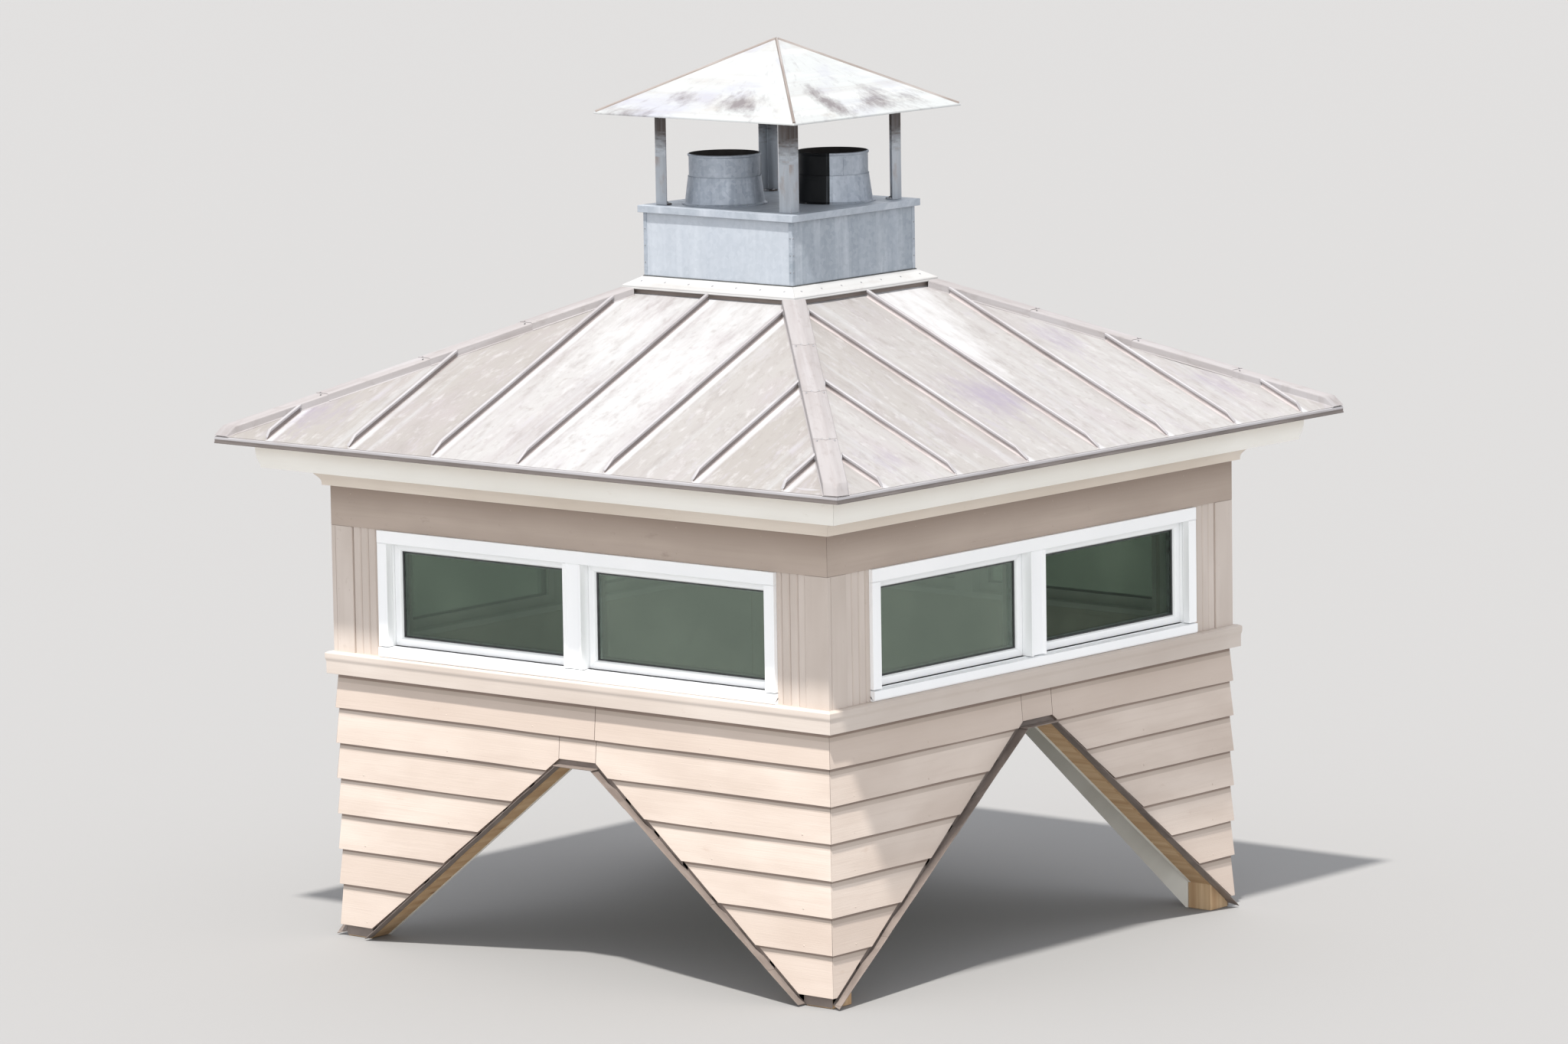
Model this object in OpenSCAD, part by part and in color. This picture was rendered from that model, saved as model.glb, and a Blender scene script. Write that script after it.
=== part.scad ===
// Garage cupola: a square boarded lantern that straddles two crossing gable
// roofs, with paired windows on each side, a standing-seam hip roof and a
// sheet-metal flue box under a pyramid rain cap.
// The frame has +Z up and its origin on the floor at the centre of the four feet.
// The right side faces +X, the back +Y, the left -X and the front -Y.
// Heights are above the feet unless a comment says otherwise.

/* [Lantern walls] */
// Width of the square lantern over its corner boards
wall_w = 2286; // [2120:1:2900]
// Thickness of the framed and sheathed walls, which is also the corner posts' width
frame_t = 102; // [80:1:130]
// Thickness of the siding and trim boards nailed over the framing
clad_t = 19; // [14:1:26]
// Height from the feet to the underside of the sill band
base_h = 952; // [780:1:1300]
// Height of the sill band
band_h = 80; // [60:1:120]
// Exposed height of one siding board
course_h = 128; // [90:1:180]
// Exposed height of the top siding board, under the sill band
course_top = 124; // [40:1:180]
// Thickness of a siding board where the next one above laps it
lap_t = 9; // [5:1:12]

/* [Saddle over the roofs] */
// Pitch of both straddled roofs in degrees
saddle_pitch = 37.9; // [25:0.1:42]
// Depth of the main ridge below the sill band, at the left and right sides
main_ridge_drop = 62; // [30:1:120]
// Depth of the cross ridge below the sill band, at the front and back sides
cross_ridge_drop = 165; // [60:1:240]
// Width of the level cap along each ridge
ridge_cap_w = 170; // [100:1:260]
// Height of flashing that shows under the cut siding
flashing_show = 24; // [10:1:50]
// Width of the flashing's outer leg that lies on the roof
flashing_leg = 42; // [25:1:70]
// Thickness of the flashing
flashing_t = 3; // [2:1:5]

/* [Windows] */
// Width of a pair of windows over the casing
window_w = 1829; // [1500:1:1980]
// Height of a pair of windows over the casing
window_h = 454; // [340:1:600]
// Width of the casing's face at the head and the sides
casing_w = 45; // [30:1:70]
// Height of the casing's face at the sill
casing_sill_h = 40; // [20:1:60]
// Width of the post between the two sashes
mullion_w = 83; // [50:1:120]
// How far the casing stands out from the corner boards
casing_out = 10; // [4:1:20]
// Thickness of the frame's lining through the wall
jamb_t = 20; // [12:1:30]
// Width of a sash's stiles and rails
sash_w = 33; // [24:1:50]
// Depth of a sash
sash_t = 45; // [35:1:60]
// Depth of a sash behind the casing's face
sash_inset = 42; // [15:1:50]
// Thickness of the sealed double glazing
glass_t = 20; // [12:1:26]

/* [Corner and side boards] */
// Width of a corner board's leg
corner_board_w = 100; // [70:1:130]
// Width of one grooved board beside a window
side_board_pitch = 36; // [30:1:80]
// Width and depth of the groove between the side boards
groove_w = 10; // [4:1:16]
// Depth of the side boards behind the corner boards' face
side_board_inset = 5; // [0:1:8]
// Height of the frieze board that shows over the windows and corner boards
frieze_h = 144; // [90:1:200]

/* [Cornice] */
// Height of the bed mould under the soffit
bed_h = 67; // [40:1:90]
// How far the bed mould stands out at its top
bed_out = 48; // [30:1:80]
// Width of the soffit from the corner boards to the crown's lower edge
soffit_w = 174; // [120:1:200]
// Thickness of the soffit boards
soffit_t = 12; // [9:1:20]
// Thickness of the crown at its lower edge
crown_t = 26; // [18:1:40]
// How far the crown leans out from its lower edge to its top
crown_out = 28; // [15:1:60]

/* [Metal roof] */
// How far the roof's metal edge stands out from the corner boards
roof_out = 288; // [265:1:340]
// Height of the roof's metal edge above the soffit's underside
roof_rise = 93; // [70:1:140]
// Pitch of the roof in degrees
roof_pitch = 24.5; // [20:0.1:34]
// Thickness of the roof boards
deck_t = 18; // [12:1:30]
// Thickness of the metal pans
pan_t = 4; // [3:1:6]
// Distance between standing seams
seam_pitch = 395; // [250:1:500]
// Height of a standing seam
seam_h = 25; // [15:1:40]
// Thickness of a standing seam's folded head
seam_head_w = 12; // [8:1:20]
// Width of the metal cap along each hip
hip_cap_w = 92; // [60:1:140]
// Width of a rafter
rafter_w = 38; // [30:1:50]
// Depth of a rafter
rafter_d = 140; // [120:1:170]
// Distance between rafters
rafter_pitch = 406; // [300:1:600]
// Length of a rafter's level seat on the wall plate
rafter_seat = 55; // [35:1:80]
// Height of the wall plate
plate_h = 38; // [30:1:50]

/* [Flue box] */
// Width of the square sheet-metal box
box_w = 686; // [640:1:860]
// Height of the box above the roof beside it
box_h = 286; // [200:1:360]
// Thickness of the box's sheet metal
sheet_t = 3; // [2:1:5]
// Height of the wooden curb above the roof boards inside the box
curb_rise = 90; // [50:1:130]
// How far the collar plate reaches past the box
collar_out = 57; // [40:1:90]
// How far the lid stands out past the box
lid_out = 14; // [8:1:24]
// Height of the lid's turned-down edge
lid_h = 25; // [15:1:40]
// Outer diameter of each flue
flue_d = 254; // [150:1:270]
// Wall of a flue
flue_t = 3; // [2:1:5]
// Height of a flue above the lid
flue_h = 180; // [100:1:240]
// Distance of each flue's axis from both centre planes
flue_offset = 136; // [134:1:160]
// Radius of the bead rolled round a flue's mouth
flue_bead_r = 5; // [3:1:8]

/* [Rain cap] */
// Distance of the four posts that carry the rain cap from the box's edges
post_inset = 33; // [20:1:45]
// Width of a post's two legs
post_leg = 50; // [25:1:60]
// Thickness of a post's legs
post_t = 4; // [3:1:8]
// Height of the rain cap's edge above the lid
cap_lift = 328; // [280:1:450]
// How far the rain cap reaches past the box
cap_out = 120; // [60:1:180]
// Pitch of the rain cap in degrees
cap_pitch = 28.2; // [20:0.1:40]
// Height of the rain cap's turned-down rim
cap_rim_h = 12; // [8:1:30]

/* [Hidden] */
$fn = 64;

// Clearances: a mitre or butt joint between two boards, a slip fit, and the floor
joint_gap = 0.4;
slip_fit = 0.3;
siding_foot = 40;

// Turns of each side about the vertical axis
RIGHT = 0;
BACK = 90;
LEFT = 180;
FRONT = 270;
SIDES = [RIGHT, BACK, LEFT, FRONT];

// Half widths of the walls, from the outside in
wall = wall_w / 2;
core = wall - clad_t;
inside = core - frame_t;
span = wall_w;

// Heights up the wall
band_top = base_h + band_h;
window_top = band_top + window_h;
bed_z = window_top + frieze_h;
soffit_z = bed_z + bed_h;
soffit_top = soffit_z + soffit_t;

// The sill band's board and its nosing
band_out = 18;
nosing_out = 24;
nosing_h = 22;
nosing_fall = 6;

// Roof planes: half width at the metal edge, and slopes as rise per run
roof = wall + roof_out;
slope = tan(roof_pitch);
pan_v = pan_t / cos(roof_pitch);
deck_v = deck_t / cos(roof_pitch);
rafter_v = rafter_d / cos(roof_pitch);
eave_z = soffit_z + roof_rise;
function under_deck(h) = eave_z + (roof - h) * slope;
function over_deck(h) = under_deck(h) + deck_v;
function over_pans(h) = over_deck(h) + pan_v;
function under_rafter(h) = under_deck(h) - rafter_v;

crown_foot = wall + soffit_w;
tail = crown_foot - crown_t;
plate_top = under_rafter(core - rafter_seat);
plate_z = plate_top - plate_h;

// Where a rafter's underside comes down to the soffit and is cut level
tail_heel = max(core, min(tail, roof - (soffit_top + rafter_v - eave_z) / slope));
function under_tail(h) = max(soffit_top, under_rafter(h));

// The flue box and what stands on it
box = box_w / 2;
curb = box - sheet_t - joint_gap;
curb_t = 38;
curb_z = under_rafter(curb);
curb_top = over_deck(curb) + curb_rise;
box_z = over_deck(curb);
box_top = over_pans(box) + box_h;
lid_z = box_top + pan_t;
collar = box + collar_out;
collar_t = 6;
collar_lip = 18;
collar_upstand = 9;

// The rain cap, with its sheet as thick as the box's
cap = box + cap_out;
cap_slope = tan(cap_pitch);
cap_z = lid_z + cap_lift;
cap_v = sheet_t / cos(cap_pitch);
cap_apex = cap_z + cap_rim_h + cap * cap_slope;

// Rough opening and the frame's clear opening, in a side's own height and width
opening_w = window_w - 2 * casing_w;
opening_z = band_top + casing_sill_h;
opening_h = window_h - casing_w - casing_sill_h;
sash_opening_w = (opening_w - mullion_w) / 2;
sash_mid = (sash_opening_w + mullion_w) / 2;
sash_face = wall + casing_out - sash_inset;
pane_w = sash_opening_w - 2 * sash_w;
pane_h = opening_h - 2 * sash_w;
bead_bevel = 8;
bead_t = 6;

pale_metal = [0.78, 0.75, 0.74];
blue_metal = [0.62, 0.67, 0.73];
siding_peach = [0.86, 0.76, 0.68];
trim_taupe = [0.72, 0.65, 0.60];
cornice_cream = [0.90, 0.88, 0.82];
window_white = [0.95, 0.95, 0.95];
raw_wood = [0.76, 0.63, 0.46];

// Helpers
// A side's own frame: +X points out of the wall, Y runs along it, +Z is up.
module side(turn) {
    rotate([0, 0, turn]) children();
}

module four_sides() {
    for (turn = SIDES) side(turn) children();
}

// A block in a side's frame, from its lowest to its highest corner.
module block(from, to) {
    translate(from) cube(to - from);
}

// An outline of [distance out, height] points drawn along the wall.
module along_wall(points, from, to) {
    translate([0, to, 0]) rotate([90, 0, 0]) linear_extrude(to - from) polygon(points);
}

// The part of a side between its two mitres, set back by a gap.
module mitre_wedge(gap) {
    linear_extrude(2 * cap_apex, center = true)
        polygon([[gap, 0], [gap + span, -span], [gap + span, span]]);
}

module mitred_run(points, gap = joint_gap) {
    intersection() {
        along_wall(points, -span, span);
        mitre_wedge(gap);
    }
}

// A square-plan solid whose half width at each height follows the points.
module square_turned(points) {
    outline = concat(points, [for (i = [len(points) - 1 : -1 : 0]) [-points[i].x, points[i].y]]);
    intersection() {
        rotate([90, 0, 0]) linear_extrude(2 * roof, center = true) polygon(outline);
        rotate([90, 0, 90]) linear_extrude(2 * roof, center = true) polygon(outline);
    }
}

// An ogee curve between two points. A bend over zero leaves both ends level, as
// on a crown, and one under zero leaves them upright, as on a bed mould.
function ogee(a, b, bend, steps = 12) = [
    for (i = [0 : steps])
        let (s = i / steps)
        [a.x + (b.x - a.x) * (s + bend * sin(360 * s) / (2 * PI)), a.y + (b.y - a.y) * s]
];

// Height of a straddled roof at a distance from its ridge
function saddle_z(t, drop) =
    base_h - drop - max(abs(t), ridge_cap_w / 2) * tan(saddle_pitch);

// The space under a straddled roof, in a side's own width and height.
module under_saddle(drop, lift = 0) {
    flat = ridge_cap_w / 2;
    edges = [-span, -flat, flat, span];
    translate([0, lift])
        polygon(concat([for (t = edges) [t, saddle_z(t, drop)]], [[span, -span], [-span, -span]]));
}

// A width and height outline made as thick as from one distance out to another.
module upright(from, to) {
    translate([from, 0, 0]) rotate([90, 0, 90]) linear_extrude(to - from) children();
}

function ridge_drop(turn) = (turn == FRONT || turn == BACK) ? cross_ridge_drop : main_ridge_drop;

// Framing
module corner_posts() {
    color(raw_wood) for (x = [inside, -core], y = [inside, -core])
        translate([x, y, 0]) cube([frame_t, frame_t, plate_z]);
}

module base_wall(turn) {
    color(raw_wood) side(turn) difference() {
        block([inside, -inside, 0], [core, inside, band_top]);
        upright(inside - 1, core + 1) under_saddle(ridge_drop(turn));
    }
}

module upper_wall(turn) {
    rough = opening_w / 2 + jamb_t;
    color(raw_wood) side(turn) difference() {
        block([inside, -inside, band_top], [core, inside, plate_z]);
        block([inside - 1, -rough, opening_z - jamb_t], [core + 1, rough, opening_z + opening_h + jamb_t]);
    }
}

module wall_plate() {
    color(raw_wood) four_sides()
        mitred_run([[inside, plate_z], [core, plate_z], [core, plate_top], [inside, plate_top]]);
}

// Lap siding: each course is a taper, thick at its lower edge and lapped at its top.
module siding(turn) {
    lower = base_h - course_top;
    courses = max(1, round((lower - siding_foot) / course_h - 0.6));
    teeth = [
        for (i = [courses - 1 : -1 : 0], end = [0, 1])
            [end == 0 ? wall : core + lap_t, lower - (i - end) * course_h]
    ];
    lowest = [[core, siding_foot], [wall, siding_foot], [core + lap_t, lower - (courses - 1) * course_h]];
    color(siding_peach) side(turn) difference() {
        mitred_run(concat(lowest, teeth, [[core, lower + course_h]]));
        upright(core - 1, wall + 1) under_saddle(ridge_drop(turn), flashing_show);
        block([0, -span, base_h], [span, span, base_h + course_h]);
    }
}

// Flashing: an upright strip below the cut siding and a leg on the roof slope.
module step_flashing() {
    leg_v = flashing_t / cos(saddle_pitch);
    color("dimgray") for (turn = SIDES) side(turn) intersection() {
        union() {
            upright(core, core + flashing_t) flashing_strip(turn, flashing_show, siding_foot);
            upright(core, core + flashing_leg) flashing_strip(turn, leg_v);
        }
        mitre_wedge(joint_gap);
        block([0, -wall, flashing_t], [span, wall, base_h]);
    }
}

module flashing_strip(turn, height, floor_height = 0) {
    difference() {
        union() {
            under_saddle(ridge_drop(turn), height);
            translate([-span, -span]) square([2 * span, span + floor_height]);
        }
        under_saddle(ridge_drop(turn));
    }
}

// Trim
module sill_band() {
    face = wall + band_out;
    nosing = wall + nosing_out;
    nosing_z = band_top - nosing_h;
    cove = nosing - face - 3;
    color(trim_taupe) four_sides() mitred_run(concat(
        [[core, base_h], [face, base_h], [face, nosing_z - cove]],
        [for (a = [15 : 15 : 90]) [face + cove * (1 - cos(a)), nosing_z - cove * (1 - sin(a))]],
        [[nosing, nosing_z], [nosing, band_top - nosing_fall]],
        [[wall + casing_out + 2, band_top], [core, band_top]]
    ));
}

module corner_boards() {
    outer = wall;
    edge = wall - corner_board_w;
    ease = 3;
    color(trim_taupe) four_sides() translate([0, 0, band_top]) linear_extrude(window_h)
        polygon([
            [core, edge], [outer, edge], [outer, outer - ease], [outer - ease, outer],
            [edge, outer], [edge, core], [core, core]
        ]);
}

// The boards that fill the width between a corner board and the window casing.
module side_boards() {
    from = window_w / 2;
    to = wall - corner_board_w;
    face = wall - side_board_inset;
    depth = groove_w / 2;
    grooves = [for (t = to - side_board_pitch; t > from + groove_w; t = t - side_board_pitch) t];
    color(trim_taupe) four_sides() for (hand = [-1, 1])
        scale([1, hand, 1]) translate([0, 0, band_top]) linear_extrude(window_h) difference() {
            polygon([[core, from], [face, from], [face, to], [core, to]]);
            for (t = grooves)
                polygon([[face + 1, t - depth - 1], [face - depth, t], [face + 1, t + depth + 1]]);
        }
}

module frieze_boards() {
    color(trim_taupe) four_sides()
        mitred_run([[core, window_top], [wall, window_top], [wall, soffit_z], [core, soffit_z]]);
}

// Windows: an outward-opening pair in one white frame on each side
module window_frame(turn) {
    face = wall + casing_out;
    outer = window_w / 2;
    clear = opening_w / 2;
    pocket = sash_opening_w / 2;
    top = opening_z + opening_h;
    color(window_white) side(turn) difference() {
        union() {
            block([core, -outer, band_top], [face, outer, window_top]);
            block([inside, -clear - jamb_t, opening_z - jamb_t], [core, clear + jamb_t, top + jamb_t]);
        }
        for (mid = [-sash_mid, sash_mid])
            block([inside - 1, mid - pocket, opening_z], [face + 1, mid + pocket, top]);
    }
}

// A sash has a rail all round, with a bevelled bead outside the glass.
module window_sashes(turn) {
    pocket = sash_opening_w / 2;
    back = sash_face - sash_t;
    pane_mid = opening_z + opening_h / 2;
    color(window_white) side(turn) for (mid = [-sash_mid, sash_mid]) difference() {
        block([back, mid - pocket, opening_z], [sash_face, mid + pocket, opening_z + opening_h]);
        translate([back - 1, mid - pane_w / 2, pane_mid - pane_h / 2])
            cube([sash_t + 2, pane_w, pane_h]);
        hull() {
            translate([sash_face - bead_bevel, mid, pane_mid]) pane_plate(0);
            translate([sash_face + 1, mid, pane_mid]) pane_plate(bead_bevel + 1);
        }
    }
}

// A thin plate of the pane's size, larger all round by a margin.
module pane_plate(margin) {
    cube([0.02, pane_w + 2 * margin, pane_h + 2 * margin], center = true);
}

module window_glass() {
    front = sash_face - bead_bevel - bead_t;
    color([0.35, 0.42, 0.40, 0.6]) four_sides() for (mid = [-sash_mid, sash_mid])
        block(
            [front - glass_t, mid - pane_w / 2, opening_z + sash_w],
            [front, mid + pane_w / 2, opening_z + opening_h - sash_w]
        );
}

// Cornice
module bed_mould() {
    fillet = 8;
    foot = wall + bed_out * 0.45;
    color(cornice_cream) four_sides() mitred_run(concat(
        [[wall, bed_z], [foot, bed_z]],
        ogee([foot, bed_z + fillet], [wall + bed_out, soffit_z - fillet], -0.8),
        [[wall + bed_out, soffit_z], [wall, soffit_z]]
    ));
}

module soffit_boards() {
    color(cornice_cream) four_sides()
        mitred_run([[core, soffit_z], [tail, soffit_z], [tail, soffit_top], [core, soffit_top]]);
}

module crown_mould() {
    fillet = 12;
    top = crown_foot + crown_out;
    color(cornice_cream) four_sides() mitred_run(concat(
        [[tail, soffit_z], [crown_foot, soffit_z]],
        ogee([crown_foot, soffit_z + fillet], [top - 4, under_deck(top) - fillet], 0.75),
        [[top, under_deck(top) - fillet], [top, under_deck(top)], [tail, under_deck(tail)]]
    ));
}

// Roof structure
function rafter_outline() = [
    [tail, under_tail(tail)], [tail, under_deck(tail)],
    [curb, under_deck(curb)], [curb, under_rafter(curb)],
    [core - rafter_seat, plate_top], [core, plate_top],
    [core, under_tail(core)], [tail_heel, under_tail(tail_heel)]
];

// A hip rafter lies along a diagonal, so its distances out are longer by the
// square root of two. It is dropped so that its edges meet the deck, and its
// tail is cut back so that its edges meet the crown.
function hip_outline() =
    let (
        drop = rafter_w / sqrt(8) * slope,
        out = tail - rafter_w / sqrt(8)
    ) [
        for (p = [
            [out, under_tail(out)], [out, under_deck(out) - drop],
            [curb, under_deck(curb) - drop], [curb, under_rafter(curb)],
            [core - rafter_seat, plate_top], [core, plate_top],
            [core, under_tail(core)], [min(out, tail_heel), under_tail(min(out, tail_heel))]
        ]) [sqrt(2) * p.x, p.y]
    ];

module rafters() {
    reach = floor((inside - rafter_w) / rafter_pitch);
    half = rafter_w / 2;
    color(raw_wood) {
        four_sides() intersection() {
            for (i = [-reach : reach])
                along_wall(rafter_outline(), i * rafter_pitch - half, i * rafter_pitch + half);
            mitre_wedge(rafter_w / sqrt(2) + joint_gap);
        }
        four_sides() rotate([0, 0, 45]) along_wall(hip_outline(), -half, half);
    }
}

module roof_deck() {
    edge = roof - pan_t;
    color(raw_wood) four_sides() mitred_run([
        [edge, under_deck(edge)], [edge, over_deck(edge)],
        [curb, over_deck(curb)], [curb, under_deck(curb)]
    ]);
}

// A slope's pans with their standing seams and turned-down edge, in one piece.
module roof_panels(turn) {
    seams = floor((roof - hip_cap_w) / seam_pitch);
    fold = 9;
    web = seam_head_w / 3;
    color(pale_metal) side(turn) {
        mitred_run([
            [roof, eave_z], [roof, over_pans(roof)],
            [box, over_pans(box)], [box, over_deck(box)],
            [roof - pan_t, over_deck(roof - pan_t)], [roof - pan_t, eave_z]
        ]);
        intersection() {
            for (i = [-seams : seams]) {
                seam_strip(i * seam_pitch, web, 0, seam_h);
                seam_strip(i * seam_pitch, seam_head_w, seam_h - fold, seam_h);
            }
            mitre_wedge(hip_cap_w / sqrt(2) + joint_gap);
        }
    }
}

// A strip of a seam, from one height to another above the pans.
module seam_strip(t, width, low, high) {
    sink = low == 0 ? pan_v / 2 : -low / cos(roof_pitch);
    rise = high / cos(roof_pitch);
    foot = roof - 2;
    head = collar + joint_gap;
    along_wall([
        [foot, over_pans(foot) - sink], [foot - rise * 0.4, over_pans(foot) + rise],
        [head, over_pans(head) + rise], [head, over_pans(head) - sink]
    ], t - width / 2, t + width / 2);
}

// Caps along the four hips, as high as the seams that stop against them.
module hip_caps() {
    rise = (seam_h + 2) / cos(roof_pitch);
    top_end = collar + joint_gap;
    color(pale_metal) four_sides() difference() {
        intersection() {
            hip_solid(rise);
            rotate([0, 0, 45])
                block([0, -hip_cap_w / 2, 0], [sqrt(2) * roof, hip_cap_w / 2, cap_apex]);
        }
        hip_solid(0);
        block([-span, -span, 0], [top_end, top_end, cap_apex]);
    }
}

// What lies under two neighbouring roof planes, raised by a height.
module hip_solid(rise) {
    outline = [[0, 0], [roof, 0], [roof, over_pans(roof) + rise], [0, over_pans(0) + rise]];
    intersection() {
        along_wall(outline, 0, roof);
        translate([roof, 0, 0]) rotate([90, 0, 90]) translate([0, 0, -roof])
            linear_extrude(roof) polygon(outline);
    }
}

// Flue box
module roof_curb() {
    color(raw_wood) four_sides() mitred_run([
        [curb - curb_t, curb_z], [curb, curb_z],
        [curb, curb_top], [curb - curb_t, curb_top]
    ]);
}

// A sloping collar over the pans with a turned-down edge and an upstand.
module curb_flashing() {
    seat = over_pans(collar) + (seam_h + 2) / cos(roof_pitch);
    inner = box + joint_gap;
    rise = (collar - inner) * slope;
    color(pale_metal) difference() {
        square_turned([
            [collar, seat - collar_lip], [collar, seat + collar_t],
            [inner + collar_t, seat + collar_t + rise], [inner + collar_t, seat + rise + collar_upstand]
        ]);
        square_turned([
            [collar - collar_t, seat - collar_lip - 1], [collar - collar_t, seat],
            [inner, seat + rise], [inner, seat + rise + collar_upstand + 1]
        ]);
    }
}

module flue_box() {
    color(blue_metal) difference() {
        translate([-box, -box, box_z]) cube([box_w, box_w, box_top - box_z]);
        translate([sheet_t - box, sheet_t - box, box_z - 1])
            cube([box_w - 2 * sheet_t, box_w - 2 * sheet_t, box_top - box_z + 2]);
    }
}

module at_flues() {
    for (hand = [-1, 1]) translate([hand * flue_offset, hand * flue_offset, 0]) children();
}

module box_lid() {
    lid = box + lid_out;
    color(blue_metal) difference() {
        translate([-lid, -lid, lid_z - lid_h]) cube([2 * lid, 2 * lid, lid_h]);
        translate([sheet_t - lid, sheet_t - lid, lid_z - lid_h - 1])
            cube([2 * (lid - sheet_t), 2 * (lid - sheet_t), box_top - lid_z + lid_h + 1]);
        at_flues() translate([0, 0, box_top - 1])
            cylinder(h = lid_z - box_top + 2, d = flue_d + 2 * slip_fit);
    }
}

module flues() {
    top = lid_z + flue_h;
    color("lightsteelblue") at_flues() difference() {
        union() {
            translate([0, 0, curb_z]) cylinder(h = top - curb_z, d = flue_d);
            translate([0, 0, top - flue_bead_r]) rotate_extrude() translate([flue_d / 2 - 1, 0])
                circle(r = flue_bead_r, $fn = 24);
        }
        translate([0, 0, curb_z - 1]) cylinder(h = top - curb_z + 2, d = flue_d - 2 * flue_t);
    }
}

// Angle posts, cut to the slope of the rain cap that rests on them
module cap_posts() {
    outer = box - post_inset;
    color("slategray") intersection() {
        for (turn = SIDES) side(turn) translate([outer, outer, lid_z]) rotate([0, 0, 180]) union() {
            cube([post_leg, post_t, cap_apex - lid_z]);
            cube([post_t, post_leg, cap_apex - lid_z]);
        }
        square_turned([
            [cap, lid_z], [cap, cap_z + cap_rim_h - cap_v], [0, cap_apex - cap_v]
        ]);
    }
}

// Four sloping plates that meet at the hips, each with a turned-down rim
module rain_cap() {
    color(pale_metal) four_sides() mitred_run([
        [cap, cap_z], [cap, cap_z + cap_rim_h], [0, cap_apex], [0, cap_apex - cap_v],
        [cap - sheet_t, cap_z + cap_rim_h + sheet_t * cap_slope - cap_v], [cap - sheet_t, cap_z]
    ]);
}

corner_posts();
base_wall(FRONT);  // base_wall_front
base_wall(RIGHT);  // base_wall_right
base_wall(BACK);  // base_wall_back
base_wall(LEFT);  // base_wall_left
siding(FRONT);  // siding_front
siding(RIGHT);  // siding_right
siding(BACK);  // siding_back
siding(LEFT);  // siding_left
step_flashing();
sill_band();
upper_wall(FRONT);  // upper_wall_front
upper_wall(RIGHT);  // upper_wall_right
upper_wall(BACK);  // upper_wall_back
upper_wall(LEFT);  // upper_wall_left
corner_boards();
side_boards();
frieze_boards();
window_frame(FRONT);  // window_frame_front
window_frame(RIGHT);  // window_frame_right
window_frame(BACK);  // window_frame_back
window_frame(LEFT);  // window_frame_left
window_sashes(FRONT);  // window_sashes_front
window_sashes(RIGHT);  // window_sashes_right
window_sashes(BACK);  // window_sashes_back
window_sashes(LEFT);  // window_sashes_left
window_glass();
bed_mould();
soffit_boards();
crown_mould();
wall_plate();
rafters();
roof_deck();
roof_panels(FRONT);  // roof_panels_front
roof_panels(RIGHT);  // roof_panels_right
roof_panels(BACK);  // roof_panels_back
roof_panels(LEFT);  // roof_panels_left
hip_caps();
roof_curb();
curb_flashing();
flue_box();
box_lid();
flues();
cap_posts();
rain_cap();
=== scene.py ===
"""Looks of the garage cupola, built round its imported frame.

Lengths are in millimetres until they go into a mesh. A side's own frame has X out of
the wall, Y along it and Z up, and is turned 0, 90, 180 or 270 degrees for the right,
back, left and front side.
"""
import math
import random

import bmesh
import bpy
from mathutils import Matrix, Quaternion, Vector


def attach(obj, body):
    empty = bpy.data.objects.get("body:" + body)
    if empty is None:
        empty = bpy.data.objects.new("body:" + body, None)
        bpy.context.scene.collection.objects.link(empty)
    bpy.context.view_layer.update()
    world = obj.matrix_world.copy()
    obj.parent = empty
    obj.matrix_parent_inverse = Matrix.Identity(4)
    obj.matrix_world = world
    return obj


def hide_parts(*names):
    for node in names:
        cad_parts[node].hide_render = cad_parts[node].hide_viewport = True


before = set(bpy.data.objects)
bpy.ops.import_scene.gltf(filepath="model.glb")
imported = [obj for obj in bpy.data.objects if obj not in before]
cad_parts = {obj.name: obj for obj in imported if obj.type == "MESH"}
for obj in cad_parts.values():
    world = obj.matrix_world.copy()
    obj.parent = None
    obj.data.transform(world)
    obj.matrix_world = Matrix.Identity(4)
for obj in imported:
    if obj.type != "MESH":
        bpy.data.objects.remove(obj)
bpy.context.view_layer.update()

SIDES = {"right": 0, "back": 90, "left": 180, "front": 270}
TURNS = tuple(SIDES.values())

# Sizes of the frame: distances out from the middle, then heights, thicknesses and slopes
WALL, CORE, INSIDE = 1143, 1124, 1022
ROOF, COLLAR, BOX, CAP, CURB = 1431, 400, 343, 463, 339.6
BASE_H, BAND_TOP, WINDOW_TOP = 952, 1032, 1486
BED_Z, SOFFIT_Z, SOFFIT_TOP, EAVE_Z = 1630, 1697, 1709, 1790
STUD_T, STUD_STEP, RAFTER_D, DECK_T, PAN_T, LID_T = 38, 406, 140, 18, 4, 4
BOX_RISE, FLUE_RISE, CAP_RISE, CAP_RIM = 286, 180, 328, 12
ROOF_PITCH, SADDLE_PITCH, CAP_PITCH = (math.radians(a) for a in (24.5, 37.9, 28.2))
SLOPE, COS = math.tan(ROOF_PITCH), math.cos(ROOF_PITCH)
SIN = SLOPE * COS
SADDLE, CAP_SLOPE = math.tan(SADDLE_PITCH), math.tan(CAP_PITCH)
ROOT2 = math.sqrt(2)
RIDGE_HALF = 85
RIDGE_DROP = {"right": 62, "left": 62, "front": 165, "back": 165}
SEAM_STEP = 395
SEAMS = [SEAM_STEP * i for i in range(-3, 4)]


def under_deck(h):
    return EAVE_Z + (ROOF - h) * SLOPE


def over_deck(h):
    return under_deck(h) + DECK_T / COS


def pans(h):
    return under_deck(h) + (DECK_T + PAN_T) / COS


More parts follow.
